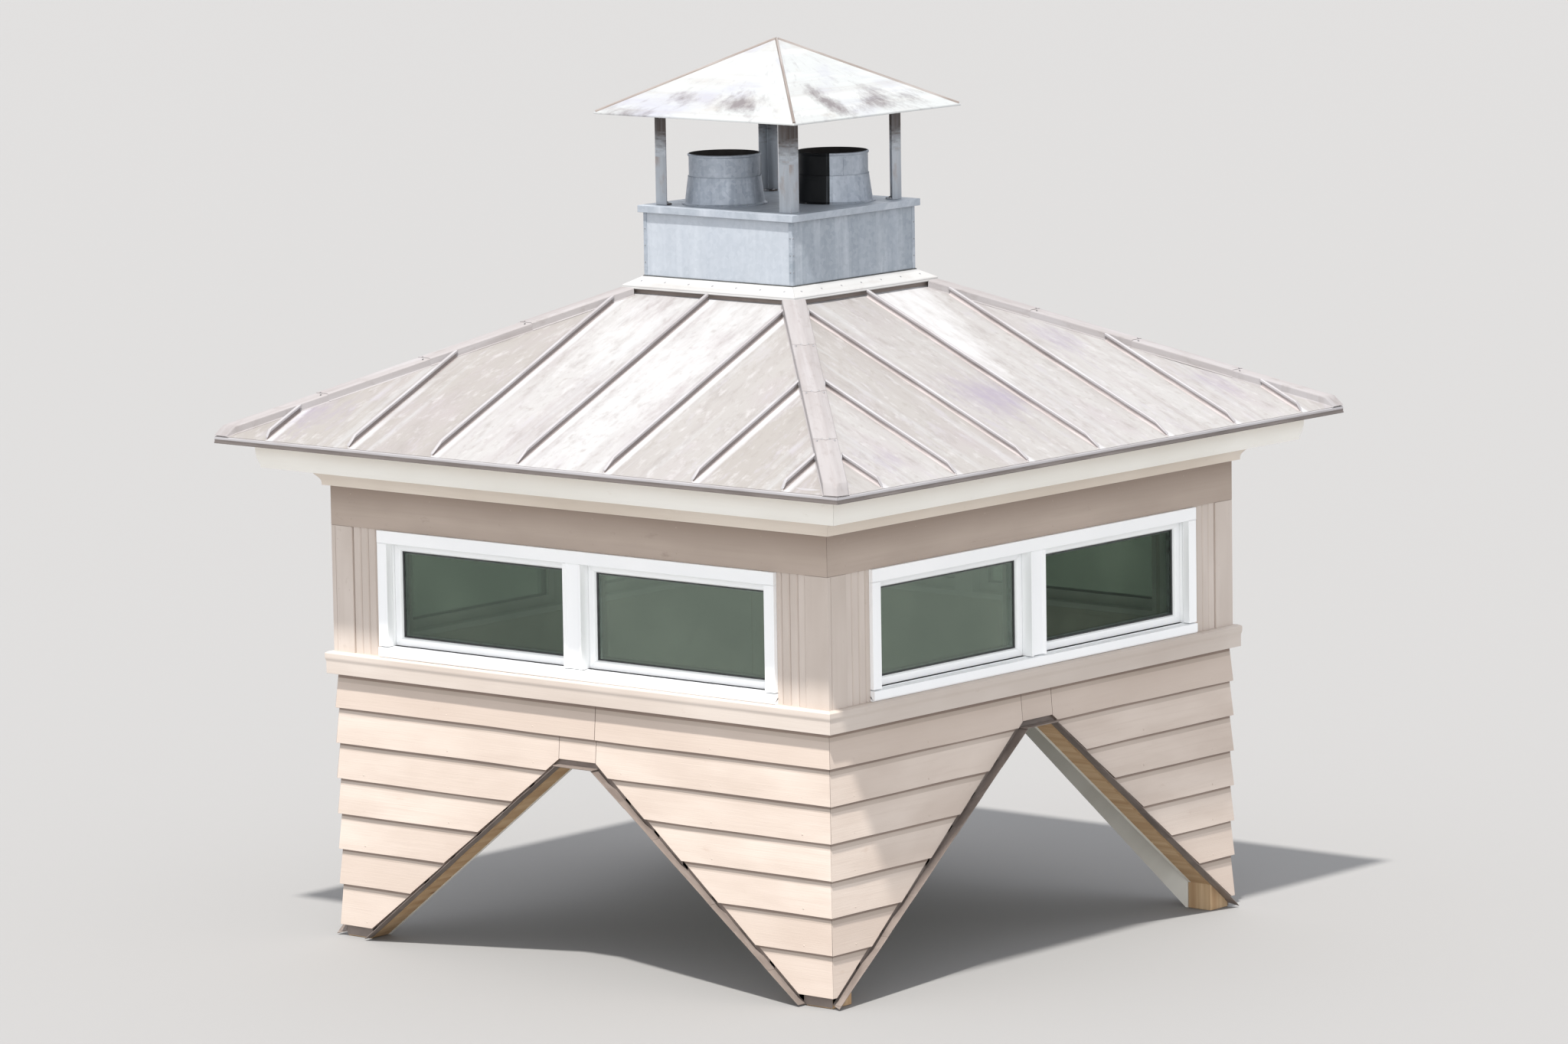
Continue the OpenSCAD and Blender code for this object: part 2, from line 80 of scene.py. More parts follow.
BOX_TOP = pans(BOX) + BOX_RISE
LID_Z = BOX_TOP + LID_T
FLUE_TOP = LID_Z + FLUE_RISE
FLUE_FOOT = under_deck(CURB) - RAFTER_D / COS
CAP_Z = LID_Z + CAP_RISE

# Camera and light
scene = bpy.context.scene
camera = bpy.data.objects.new("camera", bpy.data.cameras.new("camera"))
scene.collection.objects.link(camera)
camera.location = (17.52, -20.91, 5.32)
look = (Vector((0, 0, 1.45)) - camera.location).to_track_quat("-Z", "Y")
camera.rotation_euler = (look @ Quaternion((0, 0, 1), math.radians(-0.9))).to_euler()
camera.data.lens = 177
camera.data.clip_end = 500
scene.camera = camera
scene.view_settings.view_transform = "Standard"

world = bpy.data.worlds.new("studio")
world.use_nodes = True
background = world.node_tree.nodes["Background"].inputs
background["Color"].default_value = (0.93, 0.95, 1.0, 1)
background["Strength"].default_value = 1.08
scene.world = world


def light(name, power, toward, colour, angle):
    lamp = bpy.data.lights.new(name, "SUN")
    lamp.energy = power
    lamp.color = colour
    lamp.angle = math.radians(angle)
    made = bpy.data.objects.new(name, lamp)
    made.rotation_euler = Vector(toward).to_track_quat("-Z", "Y").to_euler()
    made.visible_camera = False
    scene.collection.objects.link(made)


light("key", 5.1, (-0.20, 0.42, -1.0), (1, 0.965, 0.925), 2.5)
light("bounce", 0.62, (-0.60, 0.77, -0.10), (1, 0.985, 0.97), 30)


# Materials
def rgb(*display):
    """A colour from its display values of 0 to 255."""
    return tuple(((c / 255 + 0.055) / 1.055) ** 2.4 for c in display) + (1,)


class Finish:
    """A node material. Its patterns lie in the "grain" map, in metres: u along, v across."""

    def __init__(self, name, roughness=0.5, metallic=0.0, **fixed):
        self.material = bpy.data.materials.new(name)
        self.material.use_nodes = True
        self.tree = self.material.node_tree
        self.shader = self.tree.nodes["Principled BSDF"]
        for key, value in {"Roughness": roughness, "Metallic": metallic, **fixed}.items():
            self.put(self.shader.inputs[key.replace("_", " ")], value)
        split = self.node("SeparateXYZ", self.node("UVMap", uv_map="grain").outputs[0])
        self.u, self.v = split.outputs[0], split.outputs[1]
        self.tint = self.attribute("tint")

    def node(self, kind, *ins, **settings):
        made = self.tree.nodes.new("ShaderNode" + kind)
        for key, value in settings.items():
            setattr(made, key, value)
        for i, value in enumerate(ins):
            self.put(made.inputs[i], value)
        return made

    def put(self, socket, value):
        """Links an output, or sets a value. Three numbers are a colour's display values."""
        if isinstance(value, bpy.types.NodeSocket):
            self.tree.links.new(value, socket)
        elif value is not None:
            socket.default_value = rgb(*value) if isinstance(value, tuple) and len(value) == 3 else value

    def attribute(self, name):
        return self.node("Attribute", attribute_name=name).outputs["Fac"]

    def math(self, operation, a, b=0.0, c=0.0):
        return self.node("Math", a, b, c, operation=operation).outputs[0]

    def spread(self, value, low, high, to_low=0.0, to_high=1.0):
        """The value's place between two limits, clamped, as a new range."""
        return self.node("MapRange", value, low, high, to_low, to_high).outputs[0]

    def texture(self, kind, along, across, shift, **inputs):
        """A texture with its scale along and across the grain, unlike from solid to solid."""
        place = self.node("CombineXYZ", self.math("MULTIPLY", self.u, along),
                          self.math("MULTIPLY", self.v, across),
                          self.math("MULTIPLY_ADD", self.tint, 31.0, shift))
        made = self.node(kind, place.outputs[0])
        for key, value in {"Scale": 1.0, **inputs}.items():
            made.inputs[key].default_value = value
        return made

    def noise(self, along, across, detail=3.0, rough=0.55, shift=0.0):
        return self.texture("TexNoise", along, across, shift, Detail=detail, Roughness=rough).outputs[0]

    def cells(self, along, across, shift):
        return self.texture("TexVoronoi", along, across, shift)

    def mix(self, amount, a, b):
        made = self.node("Mix", amount, data_type="RGBA")
        self.put(made.inputs[6], a)
        self.put(made.inputs[7], b)
        return made.outputs[2]

    def colour(self, value):
        self.put(self.shader.inputs["Base Color"], value)

    def roughen(self, value, low, high):
        self.put(self.shader.inputs["Roughness"], self.spread(value, 0.25, 0.75, low, high))

    def bump(self, height, depth, strength=1.0):
        made = self.node("Bump")
        self.put(made.inputs["Height"], height)
        made.inputs["Distance"].default_value = depth
        made.inputs["Strength"].default_value = strength
        normal = self.shader.inputs["Normal"]
        if normal.is_linked:
            self.put(made.inputs["Normal"], normal.links[0].from_socket)
        self.put(normal, made.outputs[0])


def painted(name, colour, shade, grain, across, roughness, streaks, grime=None, weather_and_shade=0.3, shade_band=None):
    """Brush-painted wood with faint grain, cloudy fading, a few rain streaks and, where asked, a painted
    shadow band.
    """
    f = Finish(name, roughness)
    tone = f.mix(f.spread(f.noise(1.6, 4, 3), 0.35, 0.7), colour, shade)
    tone = f.mix(f.spread(f.tint, 0, 1, 0, weather_and_shade), tone, shade)
    tone = f.mix(f.spread(f.noise(2.2, 55, 3, 0.6, 5), 0.5, 0.78, 0, streaks), tone, shade)
    if grime:
        tone = f.mix(f.spread(f.noise(9, 16, 5, 0.65, 9), 0.66, 0.8, 0, 0.5), tone, grime)
    # A painted shadow band, darker towards one edge across the grain
    if shade_band:
        tone = f.mix(f.spread(f.v, shade_band[0], shade_band[1], 0, 0.8), tone, shade_band[2])
    f.colour(tone)
    fibre = f.noise(5, across, 4, 0.6, 2)
    f.roughen(fibre, roughness - 0.08, roughness + 0.14)
    f.bump(fibre, grain)
    return f.material


def bare_wood(name, light_tone, dark_tone):
    """Sawn softwood with streaked grain and scattered darker knots."""
    f = Finish(name, 0.7)
    fibre = f.noise(7, 330, 3, 0.6, 4)
    tone = f.mix(f.spread(f.noise(0.9, 26, 5, 0.62), 0.35, 0.66), light_tone, dark_tone)
    tone = f.mix(f.spread(fibre, 0.45, 0.75, 0, 0.35), tone, dark_tone)
    tone = f.mix(f.spread(f.cells(2.6, 9, 3).outputs["Distance"], 0.09, 0.02), tone, (112, 72, 42))
    tone = f.mix(f.spread(f.tint, 0, 1, 0, 0.4), tone, (168, 128, 86))
    f.colour(tone)
    f.roughen(fibre, 0.62, 0.85)
    f.bump(fibre, 0.0004)
    return f.material


def mottled(name, roughness, cloud, low, light_tone, dark_tone, depth=0.0):
    """A dull surface in two clouded tones."""
    f = Finish(name, roughness)
    cloud = f.noise(*cloud)
    f.colour(f.mix(f.spread(cloud, low, 0.7), light_tone, dark_tone))
    if depth:
        f.bump(cloud, depth)
    return f.material


def sheet_metal(name, base, tones, roughness, metallic, streak=(0.7, 16), spangle=0.0, age_and_shade_tone=None,
                seam_highlight=None, painted_shade=None, bloom=None, gloss=0.5):
    """Weathered sheet: cloudy patina, streaks down the fall, fine scuffs, spangle, and where asked a painted
    highlight beside a seam.

    A tone is a colour, its noise along and across, the noise's two limits, and its strength.
    The bloom is a pale colour, a stain's colour and their noise; the "patch" layer places them. The tint
    darkens the sheet towards its age and shade tone, which is age on some sheets and painted shade on others,
    and the tint also places the painted shade.
    """
    f = Finish(name, roughness, metallic, Specular_IOR_Level=gloss)
    tone = f.mix(f.tint, base, age_and_shade_tone) if age_and_shade_tone else base
    for i, (colour, along, across, low, high, amount) in enumerate(tones):
        patch = f.noise(along, across, 5, 0.62, 7.0 * i + 1)
        tone = f.mix(f.spread(patch, low, high, 0, amount), tone, colour)
    runs = f.noise(streak[0], streak[1], 4, 0.65, 40)
    tone = f.mix(f.spread(runs, 0.52, 0.72, 0, 0.55), tone, tones[0][0])
    if spangle:
        grey = f.node("SeparateColor", f.cells(70, 70, 2).outputs["Color"]).outputs[0]
        tone = f.mix(f.spread(grey, 0, 1, 0, spangle), tone, (236, 240, 246))
    # A painted highlight in a strip beside one seam of each pan
    if seam_highlight:
        edge = f.math("MULTIPLY", f.spread(f.v, -0.156, -0.17), f.spread(f.v, -0.2, -0.186))
        highlight_breaks = f.spread(f.noise(1.3, 0, 2, 0.5, 70), 0.35, 0.6, 0.15, 1)
        tone = f.mix(f.math("MULTIPLY", edge, highlight_breaks), tone, seam_highlight)
    if bloom:
        pale, stain, along, across = bloom
        patch = f.attribute("patch")
        ragged = f.math("MULTIPLY_ADD", f.noise(along, across, 6, 0.72, 50), 2.6, -1.3)
        tone = f.mix(f.spread(f.math("ADD", patch, ragged), 0.15, 1.2, 0, 0.9), tone, pale)
        tone = f.mix(f.spread(f.math("SUBTRACT", ragged, patch), 0.15, 1.1, 0, 0.9), tone, stain)
    # Painted shade where the tint is high
    if painted_shade:
        uneven = f.spread(runs, 0.3, 0.7, -0.08, 0.08)
        tone = f.mix(f.spread(f.math("ADD", f.tint, uneven), 0.4, 0.8), tone, painted_shade)
    f.colour(tone)
    scuff = f.noise(14, 20, 5, 0.6, 60)
    f.roughen(scuff, roughness - 0.1, roughness + 0.14)
    f.bump(f.noise(3.2, 3.2, 2, 0.5, 80), 0.0016, 0.6)
    f.bump(scuff, 0.00012)
    return f.material


def clear_glass():
    """Green-grey sealed glazing: it lets tinted light through and mirrors at a glance, and more with a higher
    tint, as a painted reflection.
    """
    f = Finish("green_glass", 0.03, 1.0, Base_Color=(214, 232, 218))
    ripple = f.node("TexNoise", f.node("TexCoord").outputs["Object"])
    ripple.inputs["Scale"].default_value = 2.2
    ripple.inputs["Detail"].default_value = 3
    f.bump(ripple.outputs[0], 0.0015, 0.25)
    green = f.node("ValToRGB", ripple.outputs[0])
    ends = ((0.35, (0.42, 0.475, 0.43, 1)), (0.7, (0.56, 0.61, 0.56, 1)))
    for stop, (position, colour) in zip(green.color_ramp.elements, ends):
        stop.position, stop.color = position, colour
    glance = f.math("POWER", f.node("LayerWeight").outputs["Facing"], 5)
    # The tint raises the pane's share of mirror: a painted reflection
    share = f.spread(glance, 0, 1, f.math("MULTIPLY", f.tint, 0.25))
    through = f.node("BsdfTransparent", green.outputs[0])
    blend = f.node("MixShader", share, through.outputs[0], f.shader.outputs[0])
    f.put(f.tree.nodes["Material Output"].inputs["Surface"], blend.outputs[0])
    return f.material


siding_paint = painted(
    "siding_paint", (209, 196, 185), (190, 175, 163), 0.0005, 210, 0.62, 0.45, (176, 154, 138), 0.7)
# Painted shade for the siding: the mid strip under each board's edge, and the darker strip with the butt's
# underside
siding_shade_strip = painted(
    "siding_shade_strip", (190, 177, 166), (173, 159, 147), 0.0005, 210, 0.65, 0.45, (150, 130, 116))
siding_shadow_edge = painted("siding_shadow_edge", (154, 138, 127), (136, 120, 110), 0.0005, 210, 0.75, 0.3)
trim_paint = painted(
    "trim_paint", (206, 195, 186), (190, 178, 168), 0.0003, 240, 0.55, 0.4, (150, 134, 122))
# The frieze is the trim paint darkened as painted shade under the eave, with a painted shadow band that
# darkens up towards the bed mould
frieze_shaded_paint = painted(
    "frieze_shaded_paint", (182, 167, 155), (166, 151, 139), 0.0003, 240, 0.6, 0.4, (128, 112, 100),
    shade_band=(0.075, 0.155, (146, 130, 118)))
band_paint = painted(
    "band_paint", (203, 193, 184), (188, 176, 166), 0.0003, 240, 0.52, 0.4, (174, 157, 144))
bed_paint = painted(
    "bed_paint", (228, 218, 206), (212, 200, 186), 0.0002, 260, 0.5, 0.4, (170, 154, 138))
cornice_paint = painted(
    "cornice_paint", (247, 246, 240), (237, 235, 227), 0.0002, 260, 0.42, 0.3, (216, 208, 194))
window_paint = painted("window_paint", (252, 253, 253), (243, 245, 246), 0.00008, 300, 0.34, 0.12)
plaster = painted("inner_plaster", (232, 229, 220), (216, 212, 202), 0.0004, 18, 0.85, 0.1)
framing_wood = bare_wood("framing_wood", (206, 180, 144), (174, 142, 106))
deck_wood = bare_wood("deck_wood", (190, 162, 124), (154, 122, 86))
sheathing_wood = bare_wood("sheathing_wood", (196, 168, 130), (166, 134, 98))
soot_lining = mottled("soot_lining", 0.85, (5, 8, 5, 0.65), 0.35, (52, 48, 46), (24, 22, 22), 0.0008)
rubber_seal = mottled("rubber_seal", 0.7, (30, 200, 3), 0.4, (48, 50, 50), (72, 74, 74), 0.0002)
glass = clear_glass()

roof_metal = sheet_metal(
    "roof_metal", (175, 175, 176),
    [((142, 137, 135), 1.1, 7, 0.48, 0.72, 0.6), ((150, 143, 145), 2.4, 4, 0.5, 0.72, 0.6),
     ((169, 170, 172), 0.6, 13, 0.54, 0.74, 0.7), ((132, 127, 125), 7, 16, 0.54, 0.74, 0.6),
     ((136, 131, 127), 24, 34, 0.54, 0.7, 0.5), ((179, 177, 178), 17, 30, 0.55, 0.72, 0.5)],
    0.66, 0.08, age_and_shade_tone=(144, 140, 136), seam_highlight=(187, 187, 190),
    bloom=((185, 185, 186), (137, 130, 142), 6, 18), gloss=0.25)
seam_metal = sheet_metal(
    "seam_metal", (168, 166, 168),
    [((148, 142, 142), 4, 60, 0.45, 0.7, 0.8), ((180, 179, 181), 2, 40, 0.55, 0.75, 0.7)],
    0.5, 0.2)
# Painted shade for the seams' lower sides and for the flue box's top under the lid
seam_side_shade = sheet_metal(
    "seam_side_shade", (136, 127, 124),
    [((116, 107, 104), 4, 60, 0.45, 0.7, 0.8), ((158, 150, 148), 3, 40, 0.55, 0.75, 0.6)],
    0.6, 0.1, age_and_shade_tone=(180, 172, 172))
# Painted shadow for the drip edge's face under the eave
drip_face_shadow = sheet_metal(
    "drip_face_shadow", (106, 99, 96),
    [((86, 79, 76), 5, 60, 0.45, 0.7, 0.8), ((134, 127, 124), 3, 40, 0.55, 0.75, 0.6)],
    0.6, 0.1)
hip_metal = sheet_metal(
    "hip_metal", (155, 151, 151),
    [((139, 133, 132), 1.6, 14, 0.46, 0.7, 0.7), ((167, 165, 167), 1.1, 20, 0.5, 0.7, 0.6),
     ((133, 127, 124), 16, 26, 0.54, 0.7, 0.5)],
    0.66, 0.08, gloss=0.25)
collar_metal = sheet_metal(
    "collar_metal", (182, 182, 181),
    [((164, 161, 158), 3, 9, 0.5, 0.75, 0.7), ((158, 150, 146), 9, 14, 0.62, 0.8, 0.5)],
    0.45, 0.1)
# Its tint darkens the flue box's right side as painted shade
box_metal = sheet_metal(
    "box_metal", (181, 188, 196),
    [((168, 176, 186), 7, 1.0, 0.45, 0.7, 0.6), ((198, 204, 211), 11, 0.8, 0.5, 0.72, 0.6),
     ((154, 161, 169), 6, 5, 0.6, 0.8, 0.4)],
    0.46, 0.3, streak=(15, 0.7), spangle=0.1, age_and_shade_tone=(131, 141, 151))
# The right flue's side towards the other flue takes painted shade
flue_metal = sheet_metal(
    "flue_metal", (160, 168, 178),
    [((132, 140, 150), 1.4, 16, 0.44, 0.68, 0.6), ((188, 194, 202), 2, 12, 0.52, 0.72, 0.4),
     ((112, 104, 100), 6, 9, 0.64, 0.8, 0.5)],
    0.46, 0.4, spangle=0.15, painted_shade=(15, 17, 19), gloss=0.25)
post_metal = sheet_metal(
    "post_metal", (176, 182, 188),
    [((148, 152, 158), 3, 20, 0.45, 0.7, 0.7), ((142, 118, 102), 9, 20, 0.55, 0.72, 0.6)],
    0.48, 0.35, painted_shade=(70, 60, 55))
cap_metal = sheet_metal(
    "cap_metal", (170, 173, 173),
    [((158, 155, 153), 2.0, 5, 0.5, 0.7, 0.6), ((150, 138, 128), 6.5, 4, 0.6, 0.74, 0.5),
     ((152, 152, 164), 3.5, 3, 0.5, 0.68, 0.7), ((184, 186, 184), 1.2, 9, 0.5, 0.7, 0.7)],
    0.6, 0.1, bloom=((180, 182, 184), (106, 100, 102), 28, 11), gloss=0.3)
cap_hip_metal = sheet_metal(
    "cap_hip_metal", (138, 130, 125),
    [((112, 100, 93), 3, 60, 0.4, 0.6, 0.8), ((166, 162, 160), 2, 30, 0.5, 0.7, 0.8)],
    0.55, 0.1)
flashing_metal = sheet_metal(
    "flashing_metal", (132, 121, 114),
    [((106, 96, 90), 6, 14, 0.42, 0.66, 0.8), ((156, 146, 140), 9, 20, 0.55, 0.75, 0.6)],
    0.6, 0.15)
fixing_metal = sheet_metal(
    "fixing_metal", (150, 152, 156), [((110, 104, 100), 30, 30, 0.5, 0.7, 0.7)], 0.42, 0.8)


# Shapes
def edges(outline):
    return zip(outline, outline[1:] + outline[:1])


def eased(outline, radius=2.0, sharpest=25):
    """An outline with its corners rounded, but for those that turn by few degrees."""
    made = []
    n = len(outline)
    for i in range(n):
        a, b, c = (Vector(outline[(i + k) % n]).to_2d() for k in (-1, 0, 1))
        back, on = a - b, c - b
        if back.length < 1e-6 or on.length < 1e-6:
            continue
        turn = 180 - math.degrees(back.angle(on))
        r = min(radius, 0.4 * back.length, 0.4 * on.length)
        if turn < sharpest or r < 0.05:
            made.append(tuple(b))
            continue
        p, q = b + back.normalized() * r, b + on.normalized() * r
        made += [tuple(p), tuple((p + q) / 4 + b / 2), tuple(q)]
    return made


def box_outline(x0, x1, z0, z1, radius=2.0):
    return eased([(x0, z0), (x1, z0), (x1, z1), (x0, z1)], radius)


def at(rule, *point):
    return rule(*point) if callable(rule) else rule


def near(x, z, *points):
    """Points given by their offsets from one place."""
    return [(x + dx, z + dz) for dx, dz in points]


def loft(outline, stops, place):
    """Rings of an outline: the places of its points at each stop."""
    return [[place(stop, *point) for point in outline] for stop in stops]


def run(outline, start, end, steps=1, wave=None):
    """Rings of an outline of (out, height) drawn along the wall between two places."""
    def place(i, out, z):
        low, high = at(start, out, z), at(end, out, z)
        y = low + (high - low) * i / steps
        d_out, d_z = wave(y, out, z) if wave else (0, 0)
        return out + d_out, y, z + d_z

    return loft(outline, range(steps + 1), place)


def upright(outline, low, high, steps=1):
    """Rings of a plan outline of (x, y) drawn upwards."""
    def place(i, x, y):
        return x, y, at(low, x, y) + (at(high, x, y) - at(low, x, y)) * i / steps

    return loft(outline, range(steps + 1), place)


def mitre(gap=0.5):
    return lambda out, z: gap - out, lambda out, z: out - gap


class Piece:
    """Gathers solids into one object, with a grain map and a tint for each solid."""

    def __init__(self, name, seed):
        self.name = name
        self.mesh = bmesh.new()
        self.map = self.mesh.loops.layers.uv.new("grain")
        self.tint = self.mesh.faces.layers.float.new("tint")
        self.draw = random.Random(seed)

    def face(self, corners, places, tint, material):
        made = self.mesh.faces.new(corners)
        for loop, place in zip(made.loops, places):
            loop[self.map].uv = place
        made[self.tint] = tint
        made.material_index = material

    def skin(self, rings, turn, spans, place, tint, material):
        """Quads between each ring and the next, for as many spans as are asked for."""
        rotate = Matrix.Rotation(math.radians(turn), 3, "Z")
        corners = [[self.mesh.verts.new(rotate @ Vector(p) / 1000) for p in ring] for ring in rings]
        count, n = len(rings), len(rings[0])
        for i in range(spans):
            for j in range(n):
                spots = ((i, j), (i, j + 1), (i + 1, j + 1), (i + 1, j))
                self.face([corners[a % count][b % n] for a, b in spots], [place(a, b) for a, b in spots],
                          at(tint, i), material[j] if isinstance(material, list) else material)
        return corners

    def solid(self, rings, turn=0, tint=None, material=0, ladder=False, v_from=None):
        """A solid lofted through closed rings, capped by one face or by a ladder of quads."""
        tint = self.draw.random() if tint is None else tint
        n = len(rings[0])
        across = [0.0]
        for p, q in edges(rings[0]):
            across.append(across[-1] + (Vector(p) - Vector(q)).length / 1000)
        if v_from is not None:
            across = [p / 1000 for p in v_from]
        along = [0.0]
        for a, b in zip(rings, rings[1:]):
            step = sum((Vector(p) - Vector(q)).length for p, q in zip(a, b)) / n
            along.append(along[-1] + step / 1000)
        corners = self.skin(rings, turn, len(rings) - 1,
                            lambda i, j: (along[i], across[j % len(across)]), tint, material)
        for ring, points in ((corners[0], rings[0]), (corners[-1], rings[-1])):
            if ladder:
                for j in range(n // 2 - 1):
                    rung = (j, j + 1, n - 2 - j, n - 1 - j)
                    places = [((points[m][0] + points[m][2] * 0.4) / 1000, points[m][2] / 1000) for m in rung]
                    self.face([ring[m] for m in rung], places, tint, 1)
            else:
                places = [((p[0] + p[2] * 0.4) / 1000, (p[1] + p[2] * 0.9) / 1000) for p in points]
                self.face(ring, places, tint, material[0] if isinstance(material, list) else material)

    def lathe(self, profile, centre, material, tint, segments=72):
        """A closed profile of (radius, height) turned about an upright axis."""
        def place(k, r, z):
            a = 2 * math.pi * k / segments
            return centre[0] + r * math.cos(a), centre[1] + r * math.sin(a), z

        widest = max(r for r, z in profile) / 1000
        self.skin(
            loft(profile, range(segments), place), 0, segments,
            lambda i, j: (profile[j % len(profile)][1] / 1000, 2 * math.pi * i / segments * widest),
            lambda i: at(tint, 360 * (i + 0.5) / segments), material)

    def rails(self, turn, y0, y1, z0, z1, profile, material=0, gap=0.3):
        """Four mitred rails. The profile has (distance in from the edge, out) points."""
        ends, levels = ((y0, 1), (y1, -1)), ((z0, 1), (z1, -1))
        for z, v in levels:
            rings = [[(x, y + h * w + h * gap, z + v * w) for w, x in profile] for y, h in ends]
            self.solid(rings, turn, material=material)
        for y, h in ends:
            rings = [[(x, y + h * w, z + v * w + v * gap) for w, x in profile] for z, v in levels]
            self.solid(rings, turn, material=material)

    def stud(self, place, out, radius, height, turn=0, sides=8, material=1, tint=0.5):
        """A low domed head of a nail, rivet or bolt on a surface that faces out."""
        out = Vector(out).normalized()
        across = out.orthogonal().normalized()
        up = out.cross(across)

        def dome(stop, a):
            r, h = stop
            return tuple(Vector(place) + out * h * height
                         + (across * math.cos(a) + up * math.sin(a)) * r * radius)

        circle = [(2 * math.pi * k / sides,) for k in range(sides)]
        rings = loft(circle, ((1.0, -0.3), (1.0, 0.35), (0.72, 0.85), (0.3, 1.0)), dome)
        self.solid(rings, turn, tint, material)

    def nail(self, place, turn, radius=2.6, height=0.5, out=(1, 0, 0)):
        """A nail head under the paint."""
        self.stud(place, out, radius, height, turn, material=0, tint=0.9)

    def patches(self, turn, amount, known=0):
        """Fills the patch layer of the newer faces by their place along their side and out of it."""
        patch = self.mesh.loops.layers.float["patch"]
        back = Matrix.Rotation(math.radians(-turn), 3, "Z")
        self.mesh.faces.ensure_lookup_table()
        for face in self.mesh.faces[known:]:
            for loop in face.loops:
                place = back @ loop.vert.co * 1000
                loop[patch] = amount(place.y, place.x)

    def finish(self, materials, slot, replaces=(), smooth=50):
        bmesh.ops.recalc_face_normals(self.mesh, faces=self.mesh.faces)
        data = bpy.data.meshes.new(self.name)
        self.mesh.to_mesh(data)
        self.mesh.free()
        for material in materials:
            data.materials.append(material)
        data.shade_smooth()
        data.set_sharp_from_angle(angle=math.radians(smooth))
        made = bpy.data.objects.new(self.name, data)
        scene.collection.objects.link(made)
        made.modifiers.new("weigh", "WEIGHTED_NORMAL").keep_sharp = True
        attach(made, "root")
        if replaces:
            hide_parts(*replaces)
        return made


def dressed(name, nodes, material, slot, ease=2.0):
    """CAD solids with eased edges, and grain along each solid's longest edge."""
    piece = Piece(name, len(name))
    mesh = piece.mesh
    for node in nodes:
        mesh.from_mesh(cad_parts[node].data)
    piece.map = mesh.loops.layers.uv["grain"]
    piece.tint = mesh.faces.layers.float["tint"]
    bmesh.ops.remove_doubles(mesh, verts=mesh.verts, dist=1e-6)
    bmesh.ops.dissolve_limit(mesh, angle_limit=math.radians(0.5), verts=mesh.verts, edges=mesh.edges)
    left = set(mesh.faces)
    while left:
        island, front = set(), [min(left, key=lambda f: f.index)]
        while front:
            face = front.pop()
            if face in island:
                continue
            island.add(face)
            front += [other for edge in face.edges for other in edge.link_faces if other not in island]
        left -= island
        longest = max({edge for face in island for edge in face.edges},
                      key=lambda e: (round(e.calc_length(), 4), -e.index))
        grain = (longest.verts[1].co - longest.verts[0].co).normalized()
        tint = piece.draw.random()
        for face in island:
            face.normal_update()
            lay, side = grain, face.normal.cross(grain)
            if side.length < 0.2:
                side = grain.orthogonal()
                lay = face.normal.cross(side)
            side.normalize()
            face[piece.tint] = tint
            face.material_index = 0
            for loop in face.loops:
                loop[piece.map].uv = (loop.vert.co.dot(lay), loop.vert.co.dot(side))
    made = piece.finish([material], slot, nodes, smooth=40)
    bevel = made.modifiers.new("ease", "BEVEL")
    bevel.width = ease / 1000
    bevel.segments = 2
    bevel.limit_method = "ANGLE"
    bevel.angle_limit = math.radians(35)
    made.modifiers.move(1, 0)


# Base: lap siding, framed walls and flashing
SIDING_FOOT, LOW_COURSE, COURSE, COURSES, LAP = 40, 148, 128, 6, 23
FLASHING_SHOWS = 24


def saddle_z(t, side):
    return BASE_H - RIDGE_DROP[side] - max(abs(t), RIDGE_HALF) * SADDLE


